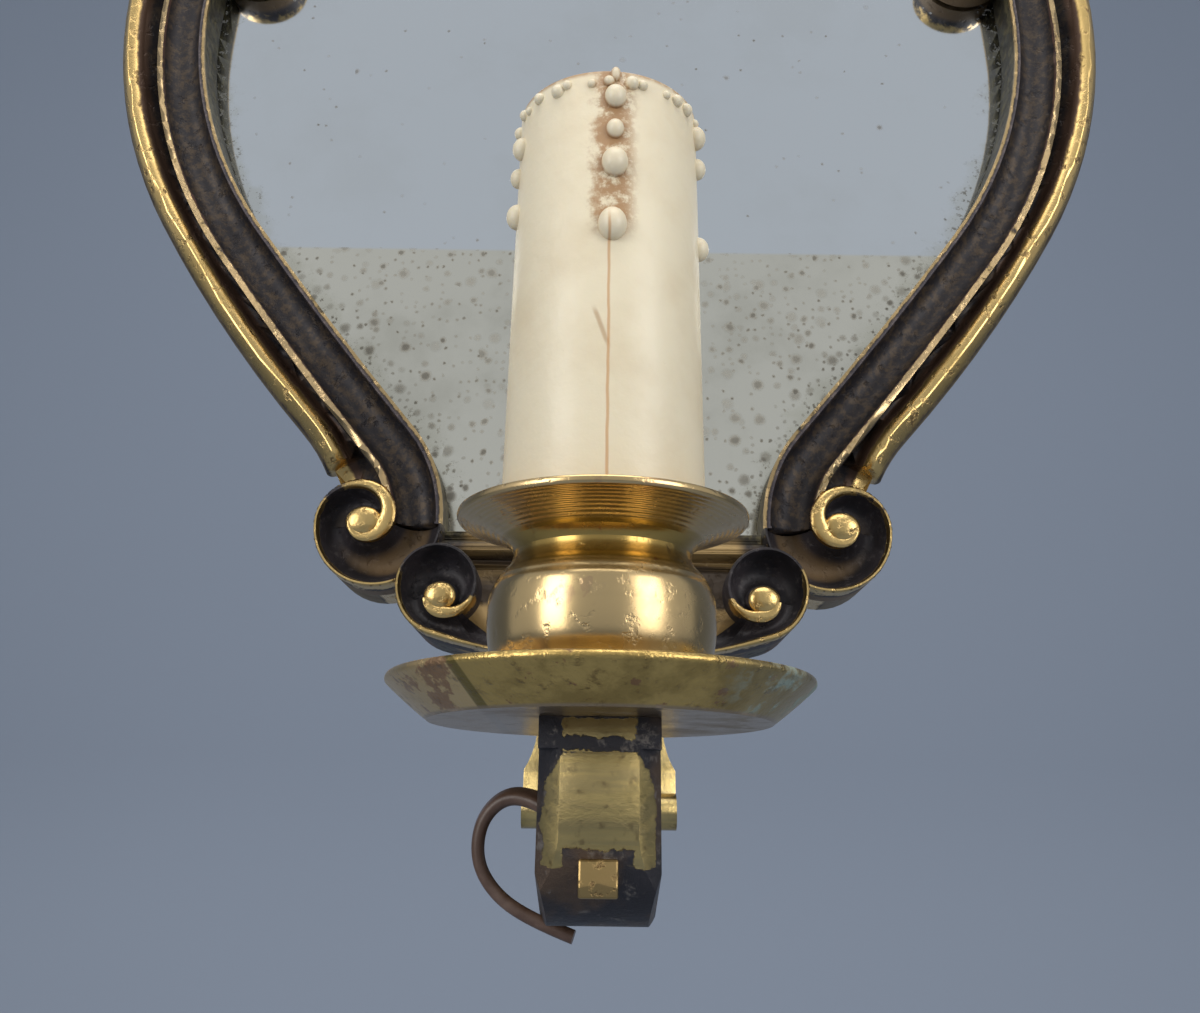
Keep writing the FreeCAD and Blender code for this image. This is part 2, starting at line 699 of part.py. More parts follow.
strapScrews = grouped("hanger_screws", [
    screw(f"hanger_screw_{name}", f"{side}dims.strapScrewSpacing / 2",
          f"{knuckle} - dims.strapHeight / 2", "dims.backRecess - dims.strapThickness",
          "dims.strapScrewRadius", "dims.strapHeadRadius", "dims.screwHeadHeight * 0.8",
          "dims.strapThickness + dims.screwDepth")
    for side, name in (("-", "left"), ("", "right"))])

# ---- arm: a leaf against the apron, a short bend forwards and down, and a lug under the pan

arm = newBody("arm")
side = newSketch(arm, "arm_side", "YZ_Plane")
limb = "-(dims.armReach + dims.limbFront)"
closedOutline(side, [
    (limb, "armTop"),
    (limb, "dims.armBottom + 9"),
    ("-(dims.armReach + 1)", "armBottom", "-9.6"),
    ("-(dims.armReach - 26)", "dims.armBottom + 5.5", "-60"),
    ("-(dims.apronFront + dims.leafThickness - 0.5)", "rootBottom", "-48"),
    ("-(dims.apronFront + dims.leafThickness - 0.5)", "rootTop"),
    ("-(dims.armReach - 24)", "dims.armBottom + 14", "40"),
    ("-(dims.armReach - 4)", "dims.armBottom + 7", "44"),
    ("-(dims.armReach + dims.limbFront - dims.limbThickness)", "dims.armBottom + 10.5", "4.4"),
    ("-(dims.armReach + dims.limbFront - dims.limbThickness)", "dims.armTop - dims.lugThickness"),
    ("-(dims.armReach - dims.lugBack)", "dims.armTop - dims.lugThickness"),
    ("-(dims.armReach - dims.lugBack)", "armTop"),
])
pad(arm, side, "armWidth", "arm_blank", centred=True)
leaf = newSketch(arm, "leaf_outline", "XZ_Plane", "apronFront")
closedOutline(leaf, [
    ("-dims.leafWidth / 2", "leafBottom"),
    ("dims.leafWidth / 2", "leafBottom"),
    ("dims.leafWidth / 2", "dims.leafBottom + 6"),
    ("dims.leafWidth * 0.42", "dims.leafBottom + 13", "12"),
    ("dims.leafWidth / 2", "dims.leafBottom + 22", "12"),
    ("dims.leafWidth * 0.3", "leafTop", "-20"),
    ("-dims.leafWidth * 0.3", "leafTop"),
    ("-dims.leafWidth / 2", "dims.leafBottom + 22", "-20"),
    ("-dims.leafWidth * 0.42", "dims.leafBottom + 13", "12"),
    ("-dims.leafWidth / 2", "dims.leafBottom + 6", "12"),
])
pad(arm, leaf, "leafThickness", "leaf")
rollSketch = newSketch(arm, "leaf_roll_section", "YZ_Plane")
circle(rollSketch, "leafRoll", "-(dims.apronFront + dims.leafThickness)", "leafBottom")
pad(arm, rollSketch, "leafWidth", "leaf_roll", centred=True)
corners = newSketch(arm, "limb_corners", "XY_Plane", "dims.armTop - dims.collarHeight")
for sign in (1, -1):
    cutCorners = [(sign * (size("armWidth") / 2 - size("limbChamfer")), -size("armReach") - size("limbFront")),
                  (sign * (size("armWidth") / 2 + 1), -size("armReach") - size("limbFront")
                   + size("limbChamfer") + 1)]
    outer = Vector(sign * (size("armWidth") / 2 + 1), -size("armReach") - size("limbFront") - 1, 0)
    first, last = (Vector(x, y, 0) for x, y in cutCorners)
    outerFoot = Vector(first.x, outer.y, 0)
    for edge in polyline(first, last, outer, outerFoot, first):
        corners.addGeometry(edge, False)
pocket(arm, corners, "dims.armTop - dims.collarHeight - dims.armBottom + 2", "limb_chamfer")
panel = newSketch(arm, "panel_outline", "XZ_Plane", "dims.armReach + dims.limbFront - 1")
closedOutline(panel, [
    ("-dims.panelWidth / 2", "dims.armTop - 3.8 - dims.panelHeight"),
    ("dims.panelWidth / 2", "dims.armTop - 3.8 - dims.panelHeight"),
    ("dims.panelWidth / 2", "dims.armTop - 3.8"),
    ("-dims.panelWidth / 2", "dims.armTop - 3.8"),
])
pad(arm, panel, "dims.panelProud + 1", "panel")
boss = newSketch(arm, "boss_outline", "XZ_Plane", "dims.armReach + dims.limbFront - 2.2")
closedOutline(boss, [
    ("-dims.bossWidth / 2", "dims.bossTop - dims.bossHeight"),
    ("dims.bossWidth / 2", "dims.bossTop - dims.bossHeight"),
    ("dims.bossWidth / 2", "bossTop"),
    ("-dims.bossWidth / 2", "bossTop"),
])
pad(arm, boss, "dims.panelProud + 2.2", "boss")
nippleHole = newSketch(arm, "nipple_hole", "XY_Plane", "dims.armTop - dims.lugThickness - 1")
circle(nippleHole, "dims.nippleRadius + dims.threadClearance", "0", "-dims.armReach")
pocket(arm, nippleHole, "dims.lugThickness + 2", "nipple_drilling", flipped=True)
armTapped = newSketch(arm, "arm_screw_tapping_line", "XZ_Plane")
for sign in ("", "-"):
    circle(armTapped, "dims.armScrewRadius + dims.threadClearance",
           f"{sign}dims.armScrewSpacing / 2", "armScrewHeight")
pocket(arm, armTapped, "dims.apronFront + dims.leafThickness - 0.5", "arm_screw_tapping", flipped=True)

armScrews = grouped("arm_screws", [
    screw(f"arm_screw_{name}", f"{sign}dims.armScrewSpacing / 2", "dims.armScrewHeight",
          "dims.apronBack + dims.armScrewHeadHeight + 0.6", "dims.armScrewRadius",
          "dims.armScrewHeadRadius", "dims.armScrewHeadHeight",
          "dims.apronFront + dims.leafThickness - dims.apronBack - dims.armScrewHeadHeight - 1.6")
    for sign, name in (("-", "left"), ("", "right"))])

# ---- drip pan and candle cup, turned brass, stacked on the lug

candle = ("0", "-dims.armReach")
hole = "dims.nippleRadius + dims.threadClearance"
pan = turned("drip_pan", [
    (hole, "0"),
    ("panFloorRadius", "0"),
    ("panRimRadius", "dims.panHeight - 0.9", "-60"),
    ("dims.panRimRadius - 0.1", "panHeight", "-0.6"),
    ("dims.panRimRadius - 1.0", "dims.panHeight - 0.1", "-0.8"),
    ("dims.panFloorRadius - 0.4", "panWall", "60"),
    (hole, "panWall"),
], candle + ("dims.armTop",))

cupSeat = "dims.armTop + dims.panWall"
flangeSeat = "dims.cupHeight - dims.flangeDish"
cup = turned("candle_cup", [
    (hole, "0"),
    ("cupFootRadius", "0"),
    ("dims.cupFootRadius + 0.5", "1.2", "-1"),
    ("cupBellyRadius", "dims.cupHeight * 0.47", "-18"),
    ("dims.cupNeckRadius + 0.6", "dims.cupHeight * 0.71", "-7"),
    ("cupNeckRadius", "dims.cupHeight * 0.79", "3.4"),
    ("dims.cupNeckRadius + 0.9", "dims.cupHeight * 0.845", "3.4"),
    ("flangeRadius", "dims.cupHeight - dims.flangeEdge", "20"),
    ("dims.flangeRadius + 0.1", "cupHeight", "-0.8"),
    ("dims.flangeRadius - 0.7", "cupHeight", "-0.6"),
    ("dims.sleeveRadius + 0.4", flangeSeat, "20"),
    (hole, flangeSeat),
], candle + (cupSeat,))

sleeveSeat = f"({cupSeat} + {flangeSeat})"
nippleFoot = "(dims.armTop - dims.lugThickness)"
baseSeat = f"({sleeveSeat} + dims.nutHeight)"
nippleTop = f"({baseSeat} + 3.4)"
nipple = turned("nipple", [
    ("nippleBore", nippleFoot),
    ("nippleRadius", nippleFoot),
    ("nippleRadius", nippleTop),
    ("nippleBore", nippleTop),
], candle + ("0",))

nut = newBody("nipple_nut", candle + (sleeveSeat,))
hexagon = newSketch(nut, "nut_outline", "XY_Plane")
closedOutline(hexagon, [(f"dims.nutAcross / 2 / cos(30) * cos({60 * index})",
                         f"dims.nutAcross / 2 / cos(30) * sin({60 * index})") for index in range(6)])
circle(hexagon, hole)
pad(nut, hexagon, "nutHeight", "nut_blank")

# ---- lampholder inside the sleeve

wall = "dims.holderWall"
base = turned("holder_base", [
    (hole, "0"),
    ("dims.holderRadius - 3", "0"),
    ("holderRadius", "3", "-4"),
    ("holderRadius", "holderBaseHeight"),
    (f"dims.holderRadius - {wall}", "holderBaseHeight"),
    (f"dims.holderRadius - {wall}", "3.2"),
    (f"dims.holderRadius - 3 - {wall} / 2", "1.2", "3.6"),
    (hole, "1.2"),
], candle + (baseSeat,))
insulatorSeat = f"({baseSeat} + dims.holderBaseHeight)"
wireHole = "dims.flexRadius + dims.threadClearance"
insulator = turned("holder_body", [
    (wireHole, "-2"),
    (f"dims.holderRadius - {wall} - 0.1", "-2"),
    (f"dims.holderRadius - {wall} - 0.1", "0"),
    ("holderRadius", "0"),
    ("holderRadius", "insulatorHeight"),
    ("wellRadius", "insulatorHeight"),
    ("wellRadius", "dims.insulatorHeight - dims.wellDepth"),
    (wireHole, "dims.insulatorHeight - dims.wellDepth"),
], candle + (insulatorSeat,))
terminalHole = newSketch(insulator, "terminal_hole", "YZ_Plane")
circle(terminalHole, "dims.terminalRadius + dims.threadClearance", "0", "dims.insulatorHeight * 0.4")
pocket(insulator, terminalHole, "2 * dims.holderRadius + 2", "terminal_tapping", centred=True)
shellSeat = f"({insulatorSeat} + dims.insulatorHeight)"
skirt = turned("holder_skirt", [
    ("dims.holderRadius - dims.skirtWall", "0"),
    ("holderRadius", "0"),
    ("holderRadius", "dims.skirtHeight - 0.8"),
    ("dims.holderRadius - 0.8", "skirtHeight", "-0.8001"),
    ("dims.holderRadius - dims.skirtWall", "skirtHeight"),
], candle + (shellSeat,))
lampShell = turned("lamp_shell", [
    ("shellBore", "0"),
    ("dims.shellBore + dims.shellWall", "0"),
    ("dims.shellBore + dims.shellWall", "lampShellHeight"),
    ("shellBore", "lampShellHeight"),
], candle + (shellSeat,))
# sprung strip in a well of the insulator, clear of its floor by a little more than its travel
contact = newBody("centre_contact", candle + (f"{shellSeat} - dims.wellDepth + dims.contactTravel + 0.1",))
strip = newSketch(contact, "contact_side", "YZ_Plane")
closedOutline(strip, [
    ("-dims.contactHalf", "0"),
    ("contactHalf", "0"),
    ("contactHalf", "contactThickness"),
    ("dims.contactHalf / 2", "dims.contactThickness + 0.1"),
    ("0", "dims.contactThickness + dims.contactRise", "6"),
    ("-dims.contactHalf / 2", "dims.contactThickness + 0.1", "6"),
    ("-dims.contactHalf", "contactThickness"),
])
pad(contact, strip, "contactWidth", "contact_strip", centred=True)

terminals = []
for sign, name in ((-1, "left"), (1, "right")):
    terminal = doc.addObject("Part::Cylinder", f"terminal_{name}")
    terminal.setExpression("Radius", "dims.terminalRadius")
    terminal.setExpression("Height", "3")
    spot = Vector(sign * (size("holderRadius") - 3.4), -size("armReach"),
                  size(insulatorSeat) + size("insulatorHeight") * 0.4)
    terminal.Placement = Placement(spot, Rotation(Vector(0, 1, 0), 90 * sign))
    terminals.append(terminal)
terminalScrews = grouped("terminal_screws", terminals)

# ---- candle sleeve with wax drips

sleeveTube = turned("sleeve_tube", [
    ("dims.sleeveRadius - dims.sleeveWall", "runningFit"),
    ("sleeveRadius", "runningFit"),
    ("sleeveRadius", "dims.sleeveHeight - 1"),
    ("dims.sleeveRadius - 0.6", "sleeveHeight", "-1"),
    ("dims.sleeveRadius - dims.sleeveWall", "sleeveHeight"),
], candle + (sleeveSeat,))
sleeveFoot = size(sleeveSeat)


def waxBead(name, around, depth, radius, stretch=1.25):
    """half-sunk bead of wax on the sleeve, at this turn from the front and depth below the top"""
    bead = doc.addObject("Part::Ellipsoid", name)
    bead.Radius1 = radius * stretch
    bead.Radius2 = radius
    bead.Radius3 = radius
    reach = size("sleeveRadius")
    bead.Placement = Placement(
        Vector(reach * math.sin(math.radians(around)),
               -size("armReach") - reach * math.cos(math.radians(around)),
               sleeveFoot + size("sleeveHeight") - depth), Rotation())
    return bead


drips = [waxBead(f"drip_{index + 1}", around, depth, radius) for index, (around, depth, radius) in
         enumerate(((4, 4.8, 1.6), (4, 10.4, 1.3), (4, 16.0, 1.9), (3, 25.9, 2.0), (-72, 7.6, 1.5),
                    (-80, 11.6, 1.3), (-78, 18.6, 1.6), (78, 4.2, 1.6), (82, 9.2, 1.4), (84, 22.8, 1.5)))]
sleeve = fused("candle_sleeve", [sleeveTube, fused("wax_drips", drips)], refine=False)

# ---- flex: a straight run in the nipple, and the free end that hangs behind the arm

flexInside = turned("flex_in_nipple", [
    ("0", nippleFoot),
    ("flexRadius", nippleFoot),
    ("flexRadius", f"{insulatorSeat} + 4"),
    ("0", f"{insulatorSeat} + 4"),
], candle + ("0",))

flexRoute = [Vector(0, -64, -165.4), Vector(0, -64, -169.8), Vector(-3.6, -62.3, -171.4),
             Vector(-7.2, -60.7, -168.9), Vector(-11.3, -59.5, -168.2), Vector(-14.4, -58.8, -171.0),
             Vector(-14.8, -58.5, -175.6), Vector(-12.3, -58.3, -179.3), Vector(-7.9, -58.4, -181.9),
             Vector(-2.8, -58.8, -183.6)]


def routedTube(route, radius):
    """tube along straight runs joined by arcs as large as the two runs allow"""
    edges = []
    spot = route[0]
    for before, point, after in zip(route, route[1:], route[2:]):
        inward = (point - before).normalize()
        onward = (after - point).normalize()
        turn = inward.getAngle(onward)
        shorter = min((point - before).Length, (after - point).Length)
        setback = 0.45 * shorter
        start = point - inward * setback
        end = point + onward * setback
        bend = setback / math.tan(turn / 2)
        towards = (onward - inward).normalize()
        middle = point + towards * (bend / math.cos(turn / 2) - bend)
        print(f"flex bend radius {bend:.1f}")
        edges.append(Part.LineSegment(spot, start).toShape())
        edges.append(Part.Arc(start, middle, end).toShape())
        spot = end
    edges.append(Part.LineSegment(spot, route[-1]).toShape())
    line = Part.Wire(edges)
    ringWire = Part.Wire(Part.makeCircle(radius, route[0], route[1] - route[0]))
    tube = line.makePipeShell([ringWire], True, False)
    print(f"flex length {line.Length:.1f}, volume ratio "
          f"{tube.Volume / (line.Length * math.pi * radius ** 2):.4f}")
    return tube


flex = doc.addObject("Part::Feature", "flex")
flex.Shape = routedTube(flexRoute, size("flexRadius"))

pieces = ([frame, glass, board] + buttons + [buttonScrewSet, strap, ring, strapScrews, arm, armScrews,
          pan, cup, nipple, nut, base, insulator, skirt, lampShell, contact, terminalScrews, sleeve,
          flexInside, flex])

doc.recompute()
failed = [(item.Name, item.State) for item in doc.Objects
          if "Invalid" in item.State or "Error" in item.State]
if failed:
    raise RuntimeError(f"failed: {failed}")
for piece in pieces:
    if piece.Shape.isNull() or not piece.Shape.isValid():
        raise RuntimeError(f"{piece.Label} has no valid shape")
os.makedirs("parts", exist_ok=True)
for piece in pieces:
    piece.Shape.exportStep(f"parts/{piece.Label}.step")
    print(piece.Label, len(piece.Shape.Solids), "solid", round(piece.Shape.Volume, 1))
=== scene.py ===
import math

import bmesh
import bpy
from mathutils import Matrix, Vector
from mathutils.kdtree import KDTree


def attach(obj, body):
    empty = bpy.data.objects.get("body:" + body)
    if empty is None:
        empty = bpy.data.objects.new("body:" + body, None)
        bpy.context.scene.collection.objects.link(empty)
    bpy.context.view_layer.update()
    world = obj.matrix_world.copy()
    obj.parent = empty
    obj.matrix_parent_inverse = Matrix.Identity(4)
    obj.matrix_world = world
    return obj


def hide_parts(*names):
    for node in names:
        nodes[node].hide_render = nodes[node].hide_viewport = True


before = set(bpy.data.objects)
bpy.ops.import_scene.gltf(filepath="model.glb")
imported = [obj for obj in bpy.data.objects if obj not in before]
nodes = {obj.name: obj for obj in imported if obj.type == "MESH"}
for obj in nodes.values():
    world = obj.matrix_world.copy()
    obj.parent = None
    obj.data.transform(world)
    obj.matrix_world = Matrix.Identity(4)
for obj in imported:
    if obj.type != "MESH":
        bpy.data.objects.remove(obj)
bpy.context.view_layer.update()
scene = bpy.context.scene
print("frame loaded")

# camera: from below, close to the arm, as the photograph was taken

view = {
    "place": (0.0, -0.201, -0.172),
    "pitch": 24.5,
    "roll": 0.8,
    "lens": 31.86,
    "shiftX": -0.0046,
    "shiftY": -0.1346,
}
cameraData = bpy.data.cameras.new("studioCamera")
camera = bpy.data.objects.new("studioCamera", cameraData)
scene.collection.objects.link(camera)
camera.location = view["place"]
pitchTurn = Matrix.Rotation(math.radians(90 + view["pitch"]), 4, "X")
rollTurn = Matrix.Rotation(math.radians(view["roll"]), 4, "Z")
camera.rotation_euler = (pitchTurn @ rollTurn).to_euler()
cameraData.lens = view["lens"]
cameraData.sensor_width = 36.0
cameraData.shift_x = view["shiftX"]
cameraData.shift_y = view["shiftY"]
cameraData.clip_start = 0.01
scene.camera = camera
scene.view_settings.view_transform = "Standard"
print("camera set")


# helpers

def deselectAll():
    if bpy.context.object and bpy.context.object.mode != "OBJECT":
        bpy.ops.object.mode_set(mode="OBJECT")
    bpy.ops.object.select_all(action="DESELECT")


def makeActive(piece):
    deselectAll()
    piece.select_set(True)
    bpy.context.view_layer.objects.active = piece


def applyModifiers(piece):
    makeActive(piece)
    for modifier in list(piece.modifiers):
        bpy.ops.object.modifier_apply(modifier=modifier.name)


def settle(piece):
    makeActive(piece)
    bpy.ops.object.transform_apply(location=True, rotation=True, scale=True)


def addMesh(name, shape):
    mesh = bpy.data.meshes.new(name)
    shape.to_mesh(mesh)
    shape.free()
    piece = bpy.data.objects.new(name, mesh)
    scene.collection.objects.link(piece)
    return piece


def cutAway(piece, cutters):
    for cutter in cutters:
        cut = piece.modifiers.new("cut", "BOOLEAN")
        cut.operation = "DIFFERENCE"
        cut.solver = "EXACT"
        cut.object = cutter
    applyModifiers(piece)
    for cutter in cutters:
        bpy.data.objects.remove(cutter)


def softenEdges(piece, width, segments, degrees):
    bevel = piece.modifiers.new("softEdges", "BEVEL")
    bevel.width = width
    bevel.segments = segments
    bevel.limit_method = "ANGLE"
    bevel.angle_limit = math.radians(degrees)


def smooth(piece, degrees=35):
    makeActive(piece)
    bpy.ops.object.shade_smooth_by_angle(angle=math.radians(degrees))


def copyOfNode(nodeName, pieceName, mergeDistance=0.00001):
    source = nodes[nodeName]  # a CAD node's mesh is loose triangles, so the copy is merged
    piece = bpy.data.objects.new(pieceName, source.data.copy())
    scene.collection.objects.link(piece)
    piece.data.materials.clear()
    makeActive(piece)
    bpy.ops.object.mode_set(mode="EDIT")
    bpy.ops.mesh.select_all(action="SELECT")
    bpy.ops.mesh.remove_doubles(threshold=mergeDistance)
    bpy.ops.object.mode_set(mode="OBJECT")
    return piece


def setMaterial(piece, material):
    piece.data.materials.clear()
    piece.data.materials.append(material)


def repaint(nodeName, material):
    setMaterial(nodes[nodeName], material)


# node helpers for the materials

def newMaterial(name):
    material = bpy.data.materials.new(name)
    material.use_nodes = True
    tree = material.node_tree
    shader = tree.nodes["Principled BSDF"]
    return material, tree, shader


def addNode(tree, kind, **values):
    node = tree.nodes.new(kind)
    for key, value in values.items():
        setattr(node, key, value)
    return node


def objectCoords(tree):
    return addNode(tree, "ShaderNodeTexCoord").outputs["Object"]


def noise(tree, vector, scale, detail=4.0, roughness=0.55, stretch=None):
    if stretch:
        mapping = addNode(tree, "ShaderNodeMapping")
        mapping.inputs["Scale"].default_value = stretch
        tree.links.new(vector, mapping.inputs["Vector"])
        vector = mapping.outputs["Vector"]
    node = addNode(tree, "ShaderNodeTexNoise")
    node.inputs["Scale"].default_value = scale
    node.inputs["Detail"].default_value = detail
    node.inputs["Roughness"].default_value = roughness
    tree.links.new(vector, node.inputs["Vector"])
    return node.outputs["Fac"]


def ramp(tree, value, low, high, fromValue=0.0, toValue=1.0):
    node = addNode(tree, "ShaderNodeMapRange", interpolation_type="SMOOTHSTEP")
    node.inputs["From Min"].default_value = low
    node.inputs["From Max"].default_value = high
    node.inputs["To Min"].default_value = fromValue
    node.inputs["To Max"].default_value = toValue
    tree.links.new(value, node.inputs["Value"])
    return node.outputs["Result"]


def math2(tree, operation, first, second=None):
    node = addNode(tree, "ShaderNodeMath", operation=operation)
    for index, value in enumerate((first, second)):
        if value is None:
            continue
        if isinstance(value, (int, float)):
            node.inputs[index].default_value = value
        else:
            tree.links.new(value, node.inputs[index])
    return node.outputs["Value"]


def times(tree, first, second):
    return math2(tree, "MULTIPLY", first, second)


def plus(tree, first, second):
    return math2(tree, "ADD", first, second)


def minus(tree, first, second):
    return math2(tree, "SUBTRACT", first, second)


def larger(tree, first, second):
    return math2(tree, "MAXIMUM", first, second)


def between(tree, value, low, high, soft):
    rising = ramp(tree, value, low - soft, low + soft)
    falling = ramp(tree, value, high - soft, high + soft, 1.0, 0.0)
    return times(tree, rising, falling)


def wobble(tree, vector, amount, scale, detail=4.0, roughness=0.55):
    return times(tree, minus(tree, noise(tree, vector, scale, detail, roughness), 0.5), amount)


def mixColour(tree, factor, first, second):
    node = addNode(tree, "ShaderNodeMix", data_type="RGBA")
    for socket, value in ((node.inputs["Factor"], factor), (node.inputs["A"], first),
                          (node.inputs["B"], second)):
        if isinstance(value, (int, float)):
            socket.default_value = value
        elif isinstance(value, tuple):
            socket.default_value = value + (1.0,)
        else:
            tree.links.new(value, socket)
    return next(output for output in node.outputs if output.type == "RGBA")


def axisValue(tree, vector, axis):
    node = addNode(tree, "ShaderNodeSeparateXYZ")
    tree.links.new(vector, node.inputs["Vector"])
    return node.outputs[axis]


def addBump(tree, shader, height, distance):
    node = addNode(tree, "ShaderNodeBump")
    node.inputs["Distance"].default_value = distance
    node.inputs["Strength"].default_value = 1.0
    tree.links.new(height, node.inputs["Height"])
    tree.links.new(node.outputs["Normal"], shader.inputs["Normal"])


def attribute(tree, name):
    return addNode(tree, "ShaderNodeAttribute", attribute_name=name).outputs["Fac"]


# old brass: polished where hands and cloths reach, brown in the rest, with pits

def buildWearGroup():
    group = bpy.data.node_groups.new("brassWear", "ShaderNodeTree")
    group.interface.new_socket(name="Vector", in_out="INPUT", socket_type="NodeSocketVector")
    group.interface.new_socket(name="Scale", in_out="INPUT", socket_type="NodeSocketFloat")
    group.interface.new_socket(name="Stain", in_out="OUTPUT", socket_type="NodeSocketFloat")
    group.interface.new_socket(name="Pits", in_out="OUTPUT", socket_type="NodeSocketFloat")
    group.interface.new_socket(name="Grain", in_out="OUTPUT", socket_type="NodeSocketFloat")
    inputs = group.nodes.new("NodeGroupInput")
    outputs = group.nodes.new("NodeGroupOutput")
    scaled = group.nodes.new("ShaderNodeVectorMath")
    scaled.operation = "SCALE"
    group.links.new(inputs.outputs["Vector"], scaled.inputs[0])
    group.links.new(inputs.outputs["Scale"], scaled.inputs["Scale"])
    stain = noise(group, scaled.outputs["Vector"], 60.0, 6.0, 0.62)
    group.links.new(ramp(group, stain, 0.48, 0.68), outputs.inputs["Stain"])
    pits = noise(group, scaled.outputs["Vector"], 420.0, 5.0, 0.6)
    group.links.new(ramp(group, pits, 0.55, 0.72), outputs.inputs["Pits"])
    grain = noise(group, scaled.outputs["Vector"], 1500.0, 3.0, 0.5)
    group.links.new(grain, outputs.inputs["Grain"])
    return group


brassWear = buildWearGroup()


def wear(tree, vector, scale):
    node = addNode(tree, "ShaderNodeGroup")
    node.node_tree = brassWear
    node.inputs["Scale"].default_value = scale
    tree.links.new(vector, node.inputs["Vector"])
    return node.outputs["Stain"], node.outputs["Pits"], node.outputs["Grain"]


brass = {
    "gold": (0.62, 0.43, 0.17),
    "tan": (0.50, 0.36, 0.19),
    "dull": (0.27, 0.19, 0.085),
    "olive": (0.30, 0.22, 0.08),
    "brown": (0.085, 0.045, 0.026),
    "red": (0.135, 0.064, 0.044),
    "slate": (0.062, 0.052, 0.058),
    "black": (0.016, 0.013, 0.015),
}


def brassMaterial(name, scale=1.0, dullness=0.35, roughness=0.3, base=None):
    material, tree, shader = newMaterial(name)
    spot = objectCoords(tree)
    stain, pits, grain = wear(tree, spot, scale)
    colour = mixColour(tree, times(tree, stain, dullness), base or brass["gold"],
                       brass["dull"])
    colour = mixColour(tree, times(tree, pits, 0.7), colour, brass["brown"])
    tree.links.new(colour, shader.inputs["Base Color"])
    shader.inputs["Metallic"].default_value = 1.0
    rough = plus(tree, times(tree, stain, 0.22), roughness)
    tree.links.new(rough, shader.inputs["Roughness"])
    addBump(tree, shader, plus(tree, times(tree, pits, -1.0),
                                times(tree, grain, 0.15)), 0.00008)
    return material


# flex behind the arm: the bare end of the old twin flex

flexLead = {
    "route": [(0.0, -0.0640, -0.1654), (0.0, -0.0640, -0.1698), (-0.0036, -0.0623, -0.1714),
              (-0.0072, -0.0607, -0.1689), (-0.0113, -0.0595, -0.1682), (-0.0144, -0.0588, -0.1710),
              (-0.0148, -0.0585, -0.1756), (-0.0123, -0.0583, -0.1793), (-0.0079, -0.0584, -0.1819),
              (-0.0028, -0.0588, -0.1836)],
    "width": 0.0028,
    "length": 0.0400,
    "colour": (0.085, 0.045, 0.028),
    "dirt": (0.16, 0.10, 0.07),
}


def flexRoute():
    curveData = bpy.data.curves.new("flexRoute", "CURVE")
    curveData.dimensions = "3D"
    curveData.resolution_u = 10
    spline = curveData.splines.new("NURBS")
    spline.points.add(len(flexLead["route"]) - 1)
    for point, place in zip(spline.points, flexLead["route"]):
        point.co = place + (1.0,)
    spline.order_u = 3
    spline.use_endpoint_u = True
    guide = bpy.data.objects.new("flexRoute", curveData)
    scene.collection.objects.link(guide)
    bpy.context.view_layer.update()
    line = bpy.data.meshes.new_from_object(guide)
    spots = [vertex.co.copy() for vertex in line.vertices]
    bpy.data.objects.remove(guide)
    return spots


def twinSection(width, count=20):
    core = width / 4
    spots = []
    for index in range(count):
        angle = 2 * math.pi * index / count
        side = math.copysign(1, math.cos(angle))
        spots.append((side * core + core * math.cos(angle), core * math.sin(angle) * 1.12))
    return spots


def buildFlex():
    spots = flexRoute()
    section = twinSection(flexLead["width"])
    shape = bmesh.new()
    rings = []
    across = Vector((0, 1, 0))
    for index, spot in enumerate(spots):
        ahead = spots[min(index + 1, len(spots) - 1)] - spots[max(index - 1, 0)]
        ahead.normalize()
        across = (across - ahead * across.dot(ahead)).normalized()
        upward = ahead.cross(across)
        rings.append([shape.verts.new(spot + across * x + upward * y) for x, y in section])
    for first, second in zip(rings, rings[1:]):
        for index in range(len(section)):
            following = (index + 1) % len(section)
            shape.faces.new((first[index], first[following], second[following], second[index]))
    shape.faces.new(list(reversed(rings[0])))
    shape.faces.new(rings[-1])
    bmesh.ops.recalc_face_normals(shape, faces=shape.faces)
    piece = addMesh("flexLead", shape)
    smooth(piece, 50)
    material, tree, shader = newMaterial("flexRubber")
    spot = objectCoords(tree)
    dirt = noise(tree, spot, 260.0)
    colour = mixColour(tree, ramp(tree, dirt, 0.4, 0.7), flexLead["colour"], flexLead["dirt"])
    tree.links.new(colour, shader.inputs["Base Color"])
    shader.inputs["Roughness"].default_value = 0.42
    addBump(tree, shader, dirt, 0.0001)
    setMaterial(piece, material)
    return piece, spots


flexPiece, flexSpots = buildFlex()
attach(flexPiece, "mirror")
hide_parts("flex")
print("flex made")

# frame: a copy of the casting with its distances from the moulding's lines as attributes

lines = {
    "middle": 0.0049,
    "outer": {"half": 0.1108, "shoulder": 0.090, "shoulderTurn": 50, "straight": 0,
              "lower": [(0.120, -32.4), (0.309, -10.6), (0.034, 16)]},
    "sight": {"half": 0.0894, "shoulder": 0.068, "shoulderTurn": 50, "straight": 0.0084,
              "lower": [(0.0984, -37.3), (0.836, -3.5)]},
    "footHalf": 0.0284,
    "footBend": 0.027,
}


def walk(start, runs, heading=0.0, step=0.0008):
    spots = []
    place, heading = Vector(start), math.radians(heading)
    for radius, turn in runs:
        length = turn if radius == 0 else radius * abs(math.radians(turn))
        count = max(2, int(length / step))
        for _ in range(count):
            if radius:
                heading += math.radians(turn) / count / 2
            place = place + Vector((math.cos(heading), math.sin(heading))) * (length / count)
            if radius:
                heading += math.radians(turn) / count / 2
            spots.append((place.copy(), Vector((-math.sin(heading), math.cos(heading)))))
    return spots


